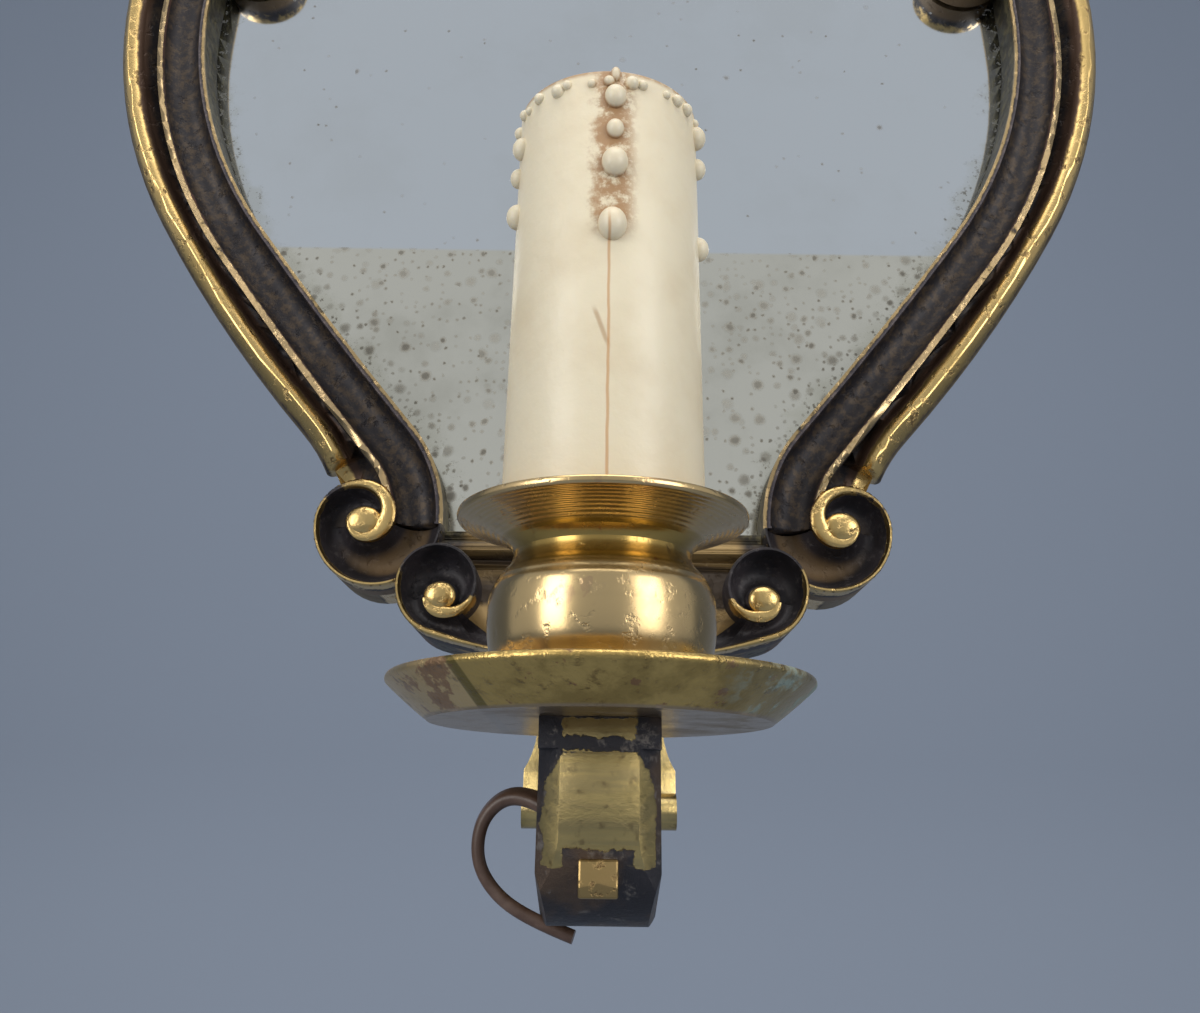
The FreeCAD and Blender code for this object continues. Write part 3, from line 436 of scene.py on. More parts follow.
def frameRuns(half, shoulder, shoulderTurn, straight, lower):
    crownTurn = 90 - shoulderTurn
    crown = (half - shoulder * (1 - math.cos(math.radians(shoulderTurn)))) / math.sin(math.radians(crownTurn))
    rise = shoulder * math.sin(math.radians(shoulderTurn)) + crown * (1 - math.cos(math.radians(crownTurn)))
    return [(crown, -crownTurn), (shoulder, -shoulderTurn)] + ([(0, straight)] if straight else []) + lower, rise


outerRuns, outerRise = frameRuns(**lines["outer"])
sightRuns, sightRise = frameRuns(**lines["sight"])
outerSpots = walk((0, lines["middle"] + outerRise), outerRuns)
sightTop = (0, lines["middle"] + sightRise)
# a straight run from the waist leaves just enough for the bend that ends upright at the foot
waist = walk(sightTop, sightRuns)[-1][0]
footTurn = -sum(turn for _, turn in lines["sight"]["lower"])
lean = math.radians(footTurn)
slide = (waist.x - lines["footHalf"] - lines["footBend"] * (1 - math.cos(lean))) / math.sin(lean)
sightSpots = walk(sightTop, sightRuns + [(0, slide), (lines["footBend"], footTurn)])


def lineOffsets(piece, name, spots, sign):
    tree = KDTree(len(spots))
    for index, (place, _) in enumerate(spots):
        tree.insert((place.x, place.y, 0), index)
    tree.balance()
    layer = piece.data.attributes.new(name, "FLOAT", "POINT")
    for vertex in piece.data.vertices:
        place = Vector((abs(vertex.co.x), vertex.co.z, 0))
        _, index, _ = tree.find(place)
        spot, normal = spots[index]
        layer.data[vertex.index].value = sign * (place.to_2d() - spot).dot(normal) * 1000


# scrolls: a cove between two ridges winds in to a domed eye; each replaces the front of a CAD scroll

footRail = {"half": 0.0126, "bend": 0.104, "bottom": -0.147}
footHeight = sightSpots[-1][0].y
rimTurn = math.degrees(math.asin(footRail["half"] / footRail["bend"]))
rimRise = footRail["bend"] * (1 - math.cos(math.radians(rimTurn)))
# runs are radius and turn; ridge and shine are given by the turn that is left, in radians
scrolls = {
    "bigScroll": {
        "start": (lines["footHalf"], footHeight), "heading": -90,
        "runs": [(0.0115 * share, 90) for share in (1.0, 0.98, 0.69, 0.56, 0.43, 0.3)],
        "cut": 0.0097, "front": 0.0174, "depth": 0.0052, "eye": 0.0036, "proud": 0.0004,
        "ridge": [(0.0, 0.0034), (3.2, 0.0034), (4.6, 0.0019), (5.7, 0.0008), (9.5, 0.0007)],
        "shine": [(0.0, 1.0), (4.3, 1.0), (5.0, 0.62), (5.7, 0.55), (6.2, 0.85), (8.4, 0.85), (8.9, 0.0)],
    },
    "smallScroll": {
        "start": (footRail["half"], footRail["bottom"] + rimRise), "heading": rimTurn,
        "runs": [(footRail["bend"], 16 - rimTurn), (0.009, 74), (0.0069, 90), (0.0072, 90), (0.0056, 90),
                 (0.0036, 90)],
        "cut": 0.0132, "front": 0.0207, "depth": 0.0046, "eye": 0.0031, "proud": 0.0004,
        "ridge": [(0.0, 0.0024), (1.6, 0.0024), (3.1, 0.0011), (3.6, 0.0008), (7.0, 0.0008), (9.5, 0.0014)],
        "shine": [(0.0, 1.0), (2.9, 1.0), (3.3, 0.1), (5.2, 0.1), (5.9, 0.85), (9.5, 0.95)],
    },
    "upperCurl": {
        "start": (0.0916, 0.0122), "heading": -90,
        "runs": [(0.0092 * share, -90) for share in (1.0, 0.95, 0.72, 0.55, 0.38)],
        "cut": 0.0098, "front": 0.0173, "depth": 0.0036, "eye": 0.0028, "proud": 0.0004,
        "ridge": [(0.0, 0.0022), (3.2, 0.0018), (9.5, 0.0014)],
        "shine": [(0.0, 0.7), (9.5, 0.7)],
    },
}
scrollForm = {
    "step": 0.0004,
    "overlap": 0.0006,
    "cutFront": 0.03,
    "ridgeShares": (0.0, 0.12, 0.3, 0.7, 0.88, 1.0),
    "coveShares": (0.08, 0.18, 0.3, 0.42, 0.55, 0.68, 0.8, 0.9, 1.0),
    "ridgeDrop": 0.22,
    "eyeSink": 0.0022,
    "eyeOval": 0.87,
}


def along(pairs, value):
    for (start, low), (end, high) in zip(pairs, pairs[1:]):
        if value <= end:
            share = (value - start) / (end - start)
            return low + (high - low) * max(0.0, share)
    return pairs[-1][1]


def scrollDrops(width, ridge):
    ridge = min(ridge, width * 0.92)
    spots = []
    for share in scrollForm["ridgeShares"]:
        away = min(share, 1 - share) / 0.3
        spots.append((share * ridge, scrollForm["ridgeDrop"] * max(0.0, 1 - away) ** 2, True))
    for share in scrollForm["coveShares"]:
        cove = math.sin(math.pi * share) ** 0.75 * 0.85
        spots.append((ridge + share * (width - ridge), scrollForm["ridgeDrop"] + 0.1 * share + cove, False))
    return spots


def spiralOf(values):
    path = walk(values["start"], values["runs"], values["heading"], scrollForm["step"])
    spots = [place for place, _ in path]
    side = math.copysign(1, values["runs"][-1][1])
    ahead = (spots[-1] - spots[-2]).normalized()
    centre = spots[-1] + Vector((-ahead.y, ahead.x)) * (side * values["runs"][-1][0] * 0.8)
    angles = []
    for spot in spots:
        angle = math.atan2(spot.y - centre.y, spot.x - centre.x) * side
        while angles and angle < angles[-1] - math.pi:
            angle += 2 * math.pi
        angles.append(angle)
    return spots, angles, centre


def innerSpot(spots, angles, centre, index, eye):
    wanted = angles[index] + 2 * math.pi
    for later in range(index + 1, len(spots)):
        if angles[later] >= wanted:
            return spots[later]
    away = spots[index] - centre
    return centre + away * min(0.9, eye * 0.55 / away.length)


def scrollCutter(values, sign):
    spots, angles, _ = spiralOf(values)
    outline = [spot for spot, angle in zip(spots, angles) if angle <= angles[0] + 2 * math.pi]
    outline = outline[::3]
    shape = bmesh.new()
    back = [shape.verts.new((sign * spot.x, -values["cut"], spot.y)) for spot in outline]
    front = [shape.verts.new((sign * spot.x, -scrollForm["cutFront"], spot.y)) for spot in outline]
    shape.faces.new(back)
    shape.faces.new(list(reversed(front)))
    for index in range(len(outline)):
        following = (index + 1) % len(outline)
        shape.faces.new((back[following], back[index], front[index], front[following]))
    bmesh.ops.recalc_face_normals(shape, faces=shape.faces)
    return shape


def buildScroll(name, values, sign):
    spots, angles, centre = spiralOf(values)
    shape = bmesh.new()
    gilt = shape.verts.layers.float.new("gilt")
    rings = []
    back = -(values["cut"] - scrollForm["overlap"])
    for index in range(0, len(spots), 2):
        outer = spots[index]
        inner = innerSpot(spots, angles, centre, index, values["eye"])
        width = (outer - inner).length
        left = angles[-1] - angles[index]
        depth = min(values["depth"], width * 0.6)
        shine = along(values["shine"], left)
        ring = [shape.verts.new((sign * outer.x, back, outer.y))]
        for away, drop, onRidge in scrollDrops(width, along(values["ridge"], left)):
            spot = outer.lerp(inner, away / width)
            vertex = shape.verts.new((sign * spot.x, -(values["front"] - drop * depth), spot.y))
            vertex[gilt] = shine if onRidge else 0.0
            ring.append(vertex)
        ring.append(shape.verts.new((sign * inner.x, back, inner.y)))
        rings.append(ring)
    count = len(rings[0])
    for first, second in zip(rings, rings[1:]):
        for index in range(count):
            following = (index + 1) % count
            shape.faces.new((first[index], first[following], second[following], second[index]))
    shape.faces.new(list(reversed(rings[0])))
    shape.faces.new(rings[-1])
    bmesh.ops.recalc_face_normals(shape, faces=shape.faces)
    body = addMesh(name, shape)
    deselectAll()
    sink = scrollForm["eyeSink"]
    bpy.ops.mesh.primitive_uv_sphere_add(segments=48, ring_count=32, radius=1.0,
                                         rotation=(math.radians(90), 0, 0))
    eye = bpy.context.object
    settle(eye)
    high = sink + values["proud"]
    for vertex in eye.data.vertices:  # a flat-topped dome with steep sides
        rise = max(0.0, -vertex.co.y) ** 0.45
        lean = 1.0 - 0.12 * rise
        vertex.co = (sign * centre.x + vertex.co.x * values["eye"] * lean,
                     -values["front"] + sink - rise * high,
                     centre.y + vertex.co.z * values["eye"] * scrollForm["eyeOval"] * lean)
    layer = eye.data.attributes.new("gilt", "FLOAT", "POINT")
    for vertex in eye.data.vertices:
        rise = (-vertex.co.y - values["front"] + sink) / high
        layer.data[vertex.index].value = values["shine"][0][1] if rise > 0.62 else 0.1
    makeActive(body)
    eye.select_set(True)
    bpy.ops.object.join()
    smooth(body, 40)
    return body


framePiece = copyOfNode("frame_casting", "frameCasting", 0.000001)
cutAway(framePiece, [addMesh(key + "Cutter", scrollCutter(values, sign))
                     for key, values in scrolls.items() for sign in (1, -1)])
print("frame cut for its scrolls:", len(framePiece.data.polygons), "faces")
lineOffsets(framePiece, "sightOffset", sightSpots, 1)
lineOffsets(framePiece, "rimOffset", outerSpots, -1)
smooth(framePiece, 28)

# offsets in millimetres from the outer line (bead, brownEdge) or the sight line (the others)
frameLook = {
    "bead": (0.7, 4.3),
    "brownEdge": (4.0, 6.0),
    "outerLine": (8.9, 10.1),
    "innerLine": (-0.3, 0.55),
    "cove": (0.8, 8.8),
    "reddish": (4.6, 8.6),
    "innerWall": (-3.0, 0.25),
    "frontDepth": (-0.0166, -0.0162),
    "railHeight": (-0.1135, -0.1150),
    "railHalf": (0.0260, 0.0235),
    "speckTone": (0.20, 0.155, 0.135),
    "reddishTone": (0.23, 0.115, 0.075),
    "slopeTone": (0.060, 0.040, 0.024),
    "outerWallTone": (0.20, 0.145, 0.07),
    "innerWallTones": ((0.022, 0.018, 0.010), (0.095, 0.080, 0.036)),
    "railTones": ((0.035, 0.022, 0.012), (0.30, 0.20, 0.08)),
}

def frameMaterial():
    material, tree, shader = newMaterial("frameBrass")
    spot = objectCoords(tree)
    stain, pits, grain = wear(tree, spot, 1.0)
    sight = attribute(tree, "sightOffset")
    outline = attribute(tree, "rimOffset")
    rim = plus(tree, outline, wobble(tree, spot, 1.6, 180.0, 6.0, 0.7))
    depth = axisValue(tree, spot, "Y")
    height = axisValue(tree, spot, "Z")
    # gold of the outer bead, brown where the polish runs out
    bead = between(tree, rim, *frameLook["bead"], 0.35)
    # the two thin lines stand at the front of the inner moulding
    atFront = ramp(tree, depth, *frameLook["frontDepth"], 1.0, 0.0)
    lineValue = plus(tree, sight, wobble(tree, spot, 0.7, 700.0))
    outerLine = between(tree, lineValue, *frameLook["outerLine"], 0.12)
    innerLine = times(tree, between(tree, lineValue, *frameLook["innerLine"], 0.12), 0.8)
    thin = times(tree, larger(tree, outerLine, innerLine), atFront)
    worn = ramp(tree, noise(tree, spot, 260.0, 5.0, 0.65), 0.30, 0.44)
    thin = times(tree, thin, worn)
    goldMask = larger(tree, bead, thin)
    # cove: reddish next to the outer line, slate next to the glass, with pale specks
    cove = between(tree, sight, *frameLook["cove"], 0.3)
    drift = wobble(tree, spot, 5.0, 90.0, 5.0, 0.65)
    reddish = between(tree, plus(tree, sight, drift), *frameLook["reddish"], 1.5)
    coveTone = mixColour(tree, reddish, brass["slate"], brass["red"])
    mottle = noise(tree, spot, 500.0, 8.0, 0.75)
    coveTone = mixColour(tree, ramp(tree, mottle, 0.48, 0.64, 0.0, 0.65), coveTone, frameLook["speckTone"])
    coveTone = mixColour(tree, times(tree, reddish, 0.85), coveTone, frameLook["reddishTone"])
    coveTone = mixColour(tree, ramp(tree, mottle, 0.46, 0.34, 0.0, 0.7), coveTone, brass["black"])
    # outer wall and slopes: dark with a brown cast, the wall under the scrolls yellower
    darkTone = mixColour(tree, ramp(tree, mottle, 0.44, 0.62), brass["black"], frameLook["slopeTone"])
    brownEdge = between(tree, rim, *frameLook["brownEdge"], 0.5)
    darkTone = mixColour(tree, brownEdge, darkTone, brass["brown"])
    outside = ramp(tree, outline, 0.55, 0.15)
    darkTone = mixColour(tree, times(tree, outside, 0.75), darkTone, frameLook["outerWallTone"])
    darkTone = mixColour(tree, times(tree, cove, atFront), darkTone, coveTone)
    innerWall = between(tree, sight, *frameLook["innerWall"], 0.2)
    wallTone = mixColour(tree, ramp(tree, mottle, 0.44, 0.60), *frameLook["innerWallTones"])
    darkTone = mixColour(tree, times(tree, innerWall, 0.9), darkTone, wallTone)
    # foot rail behind the cup
    rail = times(tree, ramp(tree, height, *frameLook["railHeight"]),
                 ramp(tree, math2(tree, "ABSOLUTE", axisValue(tree, spot, "X")), *frameLook["railHalf"]))
    stripes = noise(tree, spot, 260.0, 3.0, 0.5, stretch=(0.06, 1.0, 1.0))
    railTone = mixColour(tree, ramp(tree, stripes, 0.40, 0.62), *frameLook["railTones"])
    darkTone = mixColour(tree, rail, darkTone, railTone)
    goldTone = mixColour(tree, times(tree, stain, 0.45), brass["gold"], brass["olive"])
    goldTone = mixColour(tree, times(tree, pits, 0.75), goldTone, brass["brown"])
    goldTone = mixColour(tree, thin, goldTone, brass["tan"])
    colour = mixColour(tree, goldMask, darkTone, goldTone)
    tree.links.new(colour, shader.inputs["Base Color"])
    tree.links.new(ramp(tree, goldMask, 0.1, 0.6, 0.45, 1.0), shader.inputs["Metallic"])
    rough = minus(tree, 0.50, times(tree, goldMask, 0.24))
    rough = plus(tree, rough, times(tree, stain, 0.14))
    rough = plus(tree, rough, times(tree, pits, 0.12))
    tree.links.new(rough, shader.inputs["Roughness"])
    addBump(tree, shader, plus(tree, times(tree, pits, -1.0),
                                times(tree, grain, 0.2)), 0.00012)
    return material


def scrollMaterial():
    material, tree, shader = newMaterial("scrollBrass")
    spot = objectCoords(tree)
    stain, pits, grain = wear(tree, spot, 1.4)
    rough = times(tree, minus(tree, noise(tree, spot, 420.0, 6.0, 0.7), 0.52), 1.3)
    gilt = ramp(tree, plus(tree, attribute(tree, "gilt"), rough), 0.46, 0.66)
    mottle = noise(tree, spot, 480.0, 8.0, 0.75)
    dark = mixColour(tree, ramp(tree, noise(tree, spot, 120.0), 0.4, 0.7), brass["black"], (0.040, 0.032, 0.036))
    dark = mixColour(tree, ramp(tree, mottle, 0.54, 0.68, 0.0, 0.6), dark, (0.12, 0.105, 0.10))
    # the walls behind the rim are a yellower brown
    wall = ramp(tree, axisValue(tree, spot, "Y"), -0.0135, -0.0118)
    dark = mixColour(tree, times(tree, wall, 0.75), dark, (0.20, 0.125, 0.055))
    gold = mixColour(tree, times(tree, stain, 0.5), brass["gold"], brass["olive"])
    gold = mixColour(tree, times(tree, pits, 0.7), gold, brass["brown"])
    tree.links.new(mixColour(tree, gilt, dark, gold), shader.inputs["Base Color"])
    tree.links.new(ramp(tree, gilt, 0.0, 1.0, 0.25, 1.0), shader.inputs["Metallic"])
    tree.links.new(minus(tree, 0.56, times(tree, gilt, 0.28)),
                   shader.inputs["Roughness"])
    addBump(tree, shader, plus(tree, times(tree, pits, -1.0),
                                times(tree, grain, 0.3)), 0.00015)
    return material


scrollBrass = scrollMaterial()
for key, values in scrolls.items():
    for sign, sideName in ((1, "Right"), (-1, "Left")):
        scrollPiece = buildScroll(key + sideName, values, sign)
        setMaterial(scrollPiece, scrollBrass)
        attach(scrollPiece, "mirror")
setMaterial(framePiece, frameMaterial())
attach(framePiece, "mirror")
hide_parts("frame_casting")
print("frame made")

# mirror: clear silvering above a level line, foxed below it, where the beige tone is a painted reflection

mirror = {
    "lineHeight": -0.063,
    "clear": (0.70, 0.73, 0.75),
    # beige tone for the glass below the level line: a painted reflection
    "reflectionBelowLine": (0.73, 0.70, 0.60),
    "spot": (0.055, 0.045, 0.030),
    "haze": (0.42, 0.40, 0.32),
    "edge": (0.48, 0.46, 0.34),
    # cells per metre, size, and the share of cells with a spot below and above the line
    "spots": [(165.0, 0.25, 0.50, 0.0), (300.0, 0.29, 0.50, 0.02), (600.0, 0.30, 0.40, 0.05)],
    "longestEdge": 0.004,
}


def mirrorMaterial():
    material, tree, shader = newMaterial("oldMirror")
    spot = objectCoords(tree)
    height = axisValue(tree, spot, "Z")
    below = ramp(tree, height, mirror["lineHeight"] - 0.0004, mirror["lineHeight"] + 0.0004, 1.0, 0.0)
    cloud = noise(tree, spot, 34.0, 5.0, 0.6)
    # below the level line the base colour turns beige: a painted reflection
    base = mixColour(tree, below, mirror["clear"], mirror["reflectionBelowLine"])
    haze = times(tree, ramp(tree, cloud, 0.45, 0.68), plus(tree, below, 0.25))
    base = mixColour(tree, times(tree, haze, 0.30), base, mirror["haze"])
    edge = attribute(tree, "edgeOffset")
    ragged = wobble(tree, spot, 16.0, 110.0, 6.0, 0.7)
    nearEdge = ramp(tree, plus(tree, edge, ragged), 4.5, 0.5)
    fine = ramp(tree, noise(tree, spot, 900.0, 4.0, 0.7), 0.56, 0.64)
    base = mixColour(tree, times(tree, nearEdge, 0.30), base, mirror["edge"])
    foxing = times(tree, times(tree, fine, nearEdge), 0.75)
    # round blurred spots in three sizes: crowded below the line, rare above it
    shift = times(tree, noise(tree, spot, 800.0, 3.0), 0.0007)
    plane = addNode(tree, "ShaderNodeCombineXYZ")
    tree.links.new(plus(tree, axisValue(tree, spot, "X"), shift), plane.inputs["X"])
    tree.links.new(plus(tree, height, shift), plane.inputs["Y"])
    for scale, size, share, upper in mirror["spots"]:
        cells = addNode(tree, "ShaderNodeTexVoronoi", voronoi_dimensions="2D")
        cells.inputs["Scale"].default_value = scale
        tree.links.new(plane.outputs["Vector"], cells.inputs["Vector"])
        dots = ramp(tree, cells.outputs["Distance"], size * 0.3, size, 1.0, 0.0)
        pick = addNode(tree, "ShaderNodeSeparateColor")
        tree.links.new(cells.outputs["Color"], pick.inputs["Color"])
        chance = plus(tree, times(tree, below, share - upper), upper * 0.5)
        kept = math2(tree, "LESS_THAN", pick.outputs["Red"], chance)
        strength = plus(tree, times(tree, pick.outputs["Green"], 0.55), 0.28)
        spots = times(tree, times(tree, dots, kept), strength)
        foxing = larger(tree, foxing, spots)
    base = mixColour(tree, foxing, base, mirror["spot"])
    tree.links.new(base, shader.inputs["Base Color"])
    tree.links.new(ramp(tree, foxing, 0.0, 0.8, 1.0, 0.15), shader.inputs["Metallic"])
    tree.links.new(ramp(tree, below, 0.0, 1.0, 0.08, 0.14), shader.inputs["Roughness"])
    return material


mirrorPiece = copyOfNode("mirror_glass", "mirrorPlate")
bpy.ops.object.mode_set(mode="EDIT")
bpy.ops.mesh.select_all(action="SELECT")
bpy.ops.mesh.dissolve_limited(angle_limit=math.radians(1.0))
bpy.ops.mesh.quads_convert_to_tris()
bpy.ops.object.mode_set(mode="OBJECT")
fine = bmesh.new()
fine.from_mesh(mirrorPiece.data)
for _ in range(6):
    longEdges = [edge for edge in fine.edges if edge.calc_length() > mirror["longestEdge"]]
    if not longEdges:
        break
    bmesh.ops.subdivide_edges(fine, edges=longEdges, cuts=1)
    bmesh.ops.triangulate(fine, faces=fine.faces)
fine.to_mesh(mirrorPiece.data)
fine.free()
lineOffsets(mirrorPiece, "edgeOffset", sightSpots, -1)
setMaterial(mirrorPiece, mirrorMaterial())
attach(mirrorPiece, "mirror")
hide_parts("mirror_glass")
print("mirror made:", len(mirrorPiece.data.polygons), "faces")


# drip pan and cup

pan = {
    "bright": (0.56, 0.385, 0.13),
    "dull": (0.26, 0.18, 0.06),
    "tan": (0.72, 0.52, 0.27),
    "slash": (0.12, 0.10, 0.03),
    "slashHeight": -0.1580,
    "blot": (0.13, 0.055, 0.025),
    "faded": (0.24, 0.22, 0.14),
    "verdigris": (0.22, 0.33, 0.32),
    "underside": (0.36, 0.27, 0.185),
    "undersideHeight": (-0.1600, -0.1603),
}
cup = {
    "axisDepth": -0.064,
    "bright": (0.42, 0.28, 0.085),
    "dull": (0.20, 0.13, 0.04),
    "rust": (0.22, 0.075, 0.03),
    "stainGrey": (0.15, 0.12, 0.11),
    "stainPlace": (-0.0047, -0.0782, -0.1475),
    "stainRing": (0.0008, 0.0015),
    "stainHeart": (0.0010, 0.0007),
    "flangeFrom": (0.0128, 0.0134),
    "flangeTan": (0.66, 0.49, 0.27),
    "ringPitch": 2 * math.pi / 9000,
}


def panMaterial():
    material, tree, shader = newMaterial("panBrass")
    spot = objectCoords(tree)
    stain, pits, grain = wear(tree, spot, 1.3)
    side = axisValue(tree, spot, "X")
    height = axisValue(tree, spot, "Z")
    colour = mixColour(tree, ramp(tree, stain, 0.0, 1.0, 0.0, 0.7), pan["bright"], pan["dull"])
    # a paler patch on the left with a dark slanted line beside it
    lineAway = plus(tree, side, times(tree, minus(tree, height, pan["slashHeight"]), 0.8))
    tan = ramp(tree, lineAway, -0.0150, -0.0144, 0.75, 0.0)
    colour = mixColour(tree, tan, colour, pan["tan"])
    slash = between(tree, lineAway, -0.0150, -0.0138, 0.00012)
    colour = mixColour(tree, times(tree, slash, 0.7), colour, pan["slash"])
    # brown and red stains, thicker on the left
    blots = noise(tree, spot, 250.0, 5.0, 0.6)
    leftward = ramp(tree, side, 0.006, -0.018, 0.0, 0.09)
    blot = ramp(tree, plus(tree, blots, leftward), 0.62, 0.67)
    colour = mixColour(tree, times(tree, blot, 0.8), colour, pan["blot"])
    colour = mixColour(tree, times(tree, pits, 0.45), colour, brass["brown"])
    right = ramp(tree, side, 0.011, 0.019)
    verdigris = times(tree, right, ramp(tree, noise(tree, spot, 210.0, 6.0, 0.65), 0.48, 0.60))
    colour = mixColour(tree, times(tree, right, 0.45), colour, pan["faded"])
    colour = mixColour(tree, times(tree, verdigris, 0.7), colour, pan["verdigris"])
    # the flat underside is a smooth greyish brown
    under = ramp(tree, height, *pan["undersideHeight"])
    colour = mixColour(tree, times(tree, under, 0.85), colour, pan["underside"])
    tree.links.new(colour, shader.inputs["Base Color"])
    dull = larger(tree, verdigris, blot)
    metal = minus(tree, 1.0, times(tree, dull, 0.6))
    tree.links.new(metal, shader.inputs["Metallic"])
    rough = plus(tree, times(tree, stain, 0.16), 0.28)
    tree.links.new(plus(tree, rough, times(tree, verdigris, 0.3)),
                   shader.inputs["Roughness"])
    addBump(tree, shader, plus(tree, pits, grain), 0.00008)
    return material


def cupMaterial():
    material, tree, shader = newMaterial("cupBrass")
    spot = objectCoords(tree)
    stain, pits, _ = wear(tree, spot, 1.1)
    colour = mixColour(tree, ramp(tree, stain, 0.0, 1.0, 0.0, 0.65), cup["bright"], cup["dull"])
    # one large ringed stain left of the middle, with small ones round it
    away = addNode(tree, "ShaderNodeVectorMath", operation="DISTANCE")
    tree.links.new(spot, away.inputs[0])
    away.inputs[1].default_value = cup["stainPlace"]
    reach = plus(tree, away.outputs["Value"], wobble(tree, spot, 0.0016, 500.0))
    ring = between(tree, reach, *cup["stainRing"], 0.0002)
    heart = ramp(tree, reach, *cup["stainHeart"])
    rust = ramp(tree, noise(tree, spot, 300.0, 3.0), 0.665, 0.70)
    colour = mixColour(tree, times(tree, larger(tree, rust, ring), 0.8), colour, cup["rust"])
    colour = mixColour(tree, times(tree, heart, 0.8), colour, cup["stainGrey"])
    colour = mixColour(tree, times(tree, pits, 0.4), colour, brass["brown"])
    shader.inputs["Metallic"].default_value = 1.0
    tree.links.new(plus(tree, times(tree, stain, 0.14), 0.23), shader.inputs["Roughness"])
    mapping = addNode(tree, "ShaderNodeMapping")
    mapping.inputs["Location"].default_value = (0.0, -cup["axisDepth"], 0.0)
    tree.links.new(spot, mapping.inputs["Vector"])
    across = axisValue(tree, mapping.outputs["Vector"], "X")
    along = axisValue(tree, mapping.outputs["Vector"], "Y")
    radius = math2(tree, "SQRT", plus(tree, times(tree, across, across),
                                       times(tree, along, along)))
    rings = math2(tree, "SINE", times(tree, radius, 2 * math.pi / cup["ringPitch"]))
    flange = ramp(tree, radius, *cup["flangeFrom"])
    colour = mixColour(tree, times(tree, flange, 0.65), colour, cup["flangeTan"])
    tree.links.new(colour, shader.inputs["Base Color"])
    turning = times(tree, times(tree, rings, flange), 0.5)
    addBump(tree, shader, plus(tree, turning, times(tree, pits, -0.6)), 0.00006)
    return material


repaint("drip_pan", panMaterial())
repaint("candle_cup", cupMaterial())
print("pan and cup made")

# arm: a copy of the casting with soft edges, its two lower corners cut off

armForm = {
    "softWidth": 0.0005,
    "softAngle": 26,
    "cutPlace": (0.0070, -0.0740, -0.1755),
    "cutLean": 19.0,  # inwards on the way down
    "cutFade": 6.0,  # outwards on the way back
    "cutBlock": 0.05,
    "bossPlace": (0.0, -0.0741, -0.17685),
    "bossSize": (0.0043, 0.0016, 0.0038),
    "bossSoft": 0.00025,
    "ridge": 0.0005,
    "ridgeDips": (0.0004, 0.0009),  # at the middle and at the ends
}


def cornerBlock(sign):
    lean, fade = math.radians(armForm["cutLean"]), math.radians(armForm["cutFade"])
    facing = Vector((sign * math.cos(lean) * math.cos(fade), -math.sin(fade), -math.sin(lean) * math.cos(fade)))
    across, depth, height = armForm["cutPlace"]
    middle = Vector((sign * across, depth, height)) + facing * armForm["cutBlock"] / 2
    deselectAll()
    bpy.ops.mesh.primitive_cube_add(size=armForm["cutBlock"], location=middle)
    block = bpy.context.object
    block.rotation_euler = facing.to_track_quat("Z", "Y").to_euler()
    settle(block)
    return block


armPiece = copyOfNode("arm", "armCasting")
bpy.ops.object.mode_set(mode="EDIT")
bpy.ops.mesh.select_all(action="SELECT")
bpy.ops.mesh.dissolve_limited(angle_limit=math.radians(1.5))
bpy.ops.object.mode_set(mode="OBJECT")
cutAway(armPiece, [cornerBlock(sign) for sign in (1, -1)])
softenEdges(armPiece, armForm["softWidth"], 2, armForm["softAngle"])
applyModifiers(armPiece)
smooth(armPiece, 40)


def buildBoss():
    deselectAll()
    bpy.ops.mesh.primitive_cube_add(size=1.0, location=armForm["bossPlace"])
    boss = bpy.context.object
    boss.scale = armForm["bossSize"]
    settle(boss)
    bpy.ops.object.mode_set(mode="EDIT")
    bpy.ops.mesh.subdivide(number_cuts=1)
    bpy.ops.object.mode_set(mode="OBJECT")
    front = min(vertex.co.y for vertex in boss.data.vertices)
    for vertex in boss.data.vertices:  # a low roof whose ridge dips to each side
        middle = abs(vertex.co.z - armForm["bossPlace"][2]) < 0.0001
        if abs(vertex.co.y - front) < 0.0001 and middle:
            vertex.co.y -= armForm["ridge"]
            vertex.co.z -= armForm["ridgeDips"][0 if abs(vertex.co.x) < 0.0001 else 1]
    softenEdges(boss, armForm["bossSoft"], 2, 14)
    applyModifiers(boss)
    smooth(boss, 12)
    return boss


# half width, foot and top of each worn part of the front limb, and the tones
armLook = {
    "panel": (0.0063, -0.1758, -0.1641),
    "strip": (0.0040, -0.1758, -0.1739),
    "collar": (0.0043, -0.1626, -0.1605),
    "foot": (-0.1803, -0.1815),
    "golds": ((0.52, 0.39, 0.16), (0.26, 0.20, 0.075)),
    "brushed": (0.22, 0.18, 0.11),
    "darks": ((0.028, 0.026, 0.030), (0.085, 0.055, 0.036)),
    "speck": (0.19, 0.165, 0.14),
}


def boxMask(tree, spot, half, low, high, soft, ragged, slope=0.0):
    side = plus(tree, math2(tree, "ABSOLUTE", axisValue(tree, spot, "X")), ragged)
    height = plus(tree, axisValue(tree, spot, "Z"), ragged)
    inside = ramp(tree, side, half + soft, half - soft)
    mask = times(tree, inside, between(tree, height, low, high, soft))
    if slope:  # the upper corners are cut off
        corner = plus(tree, side, times(tree, minus(tree, height, high), slope))
        mask = times(tree, mask, ramp(tree, corner, half * 0.66 + soft, half * 0.66 - soft))
    return mask


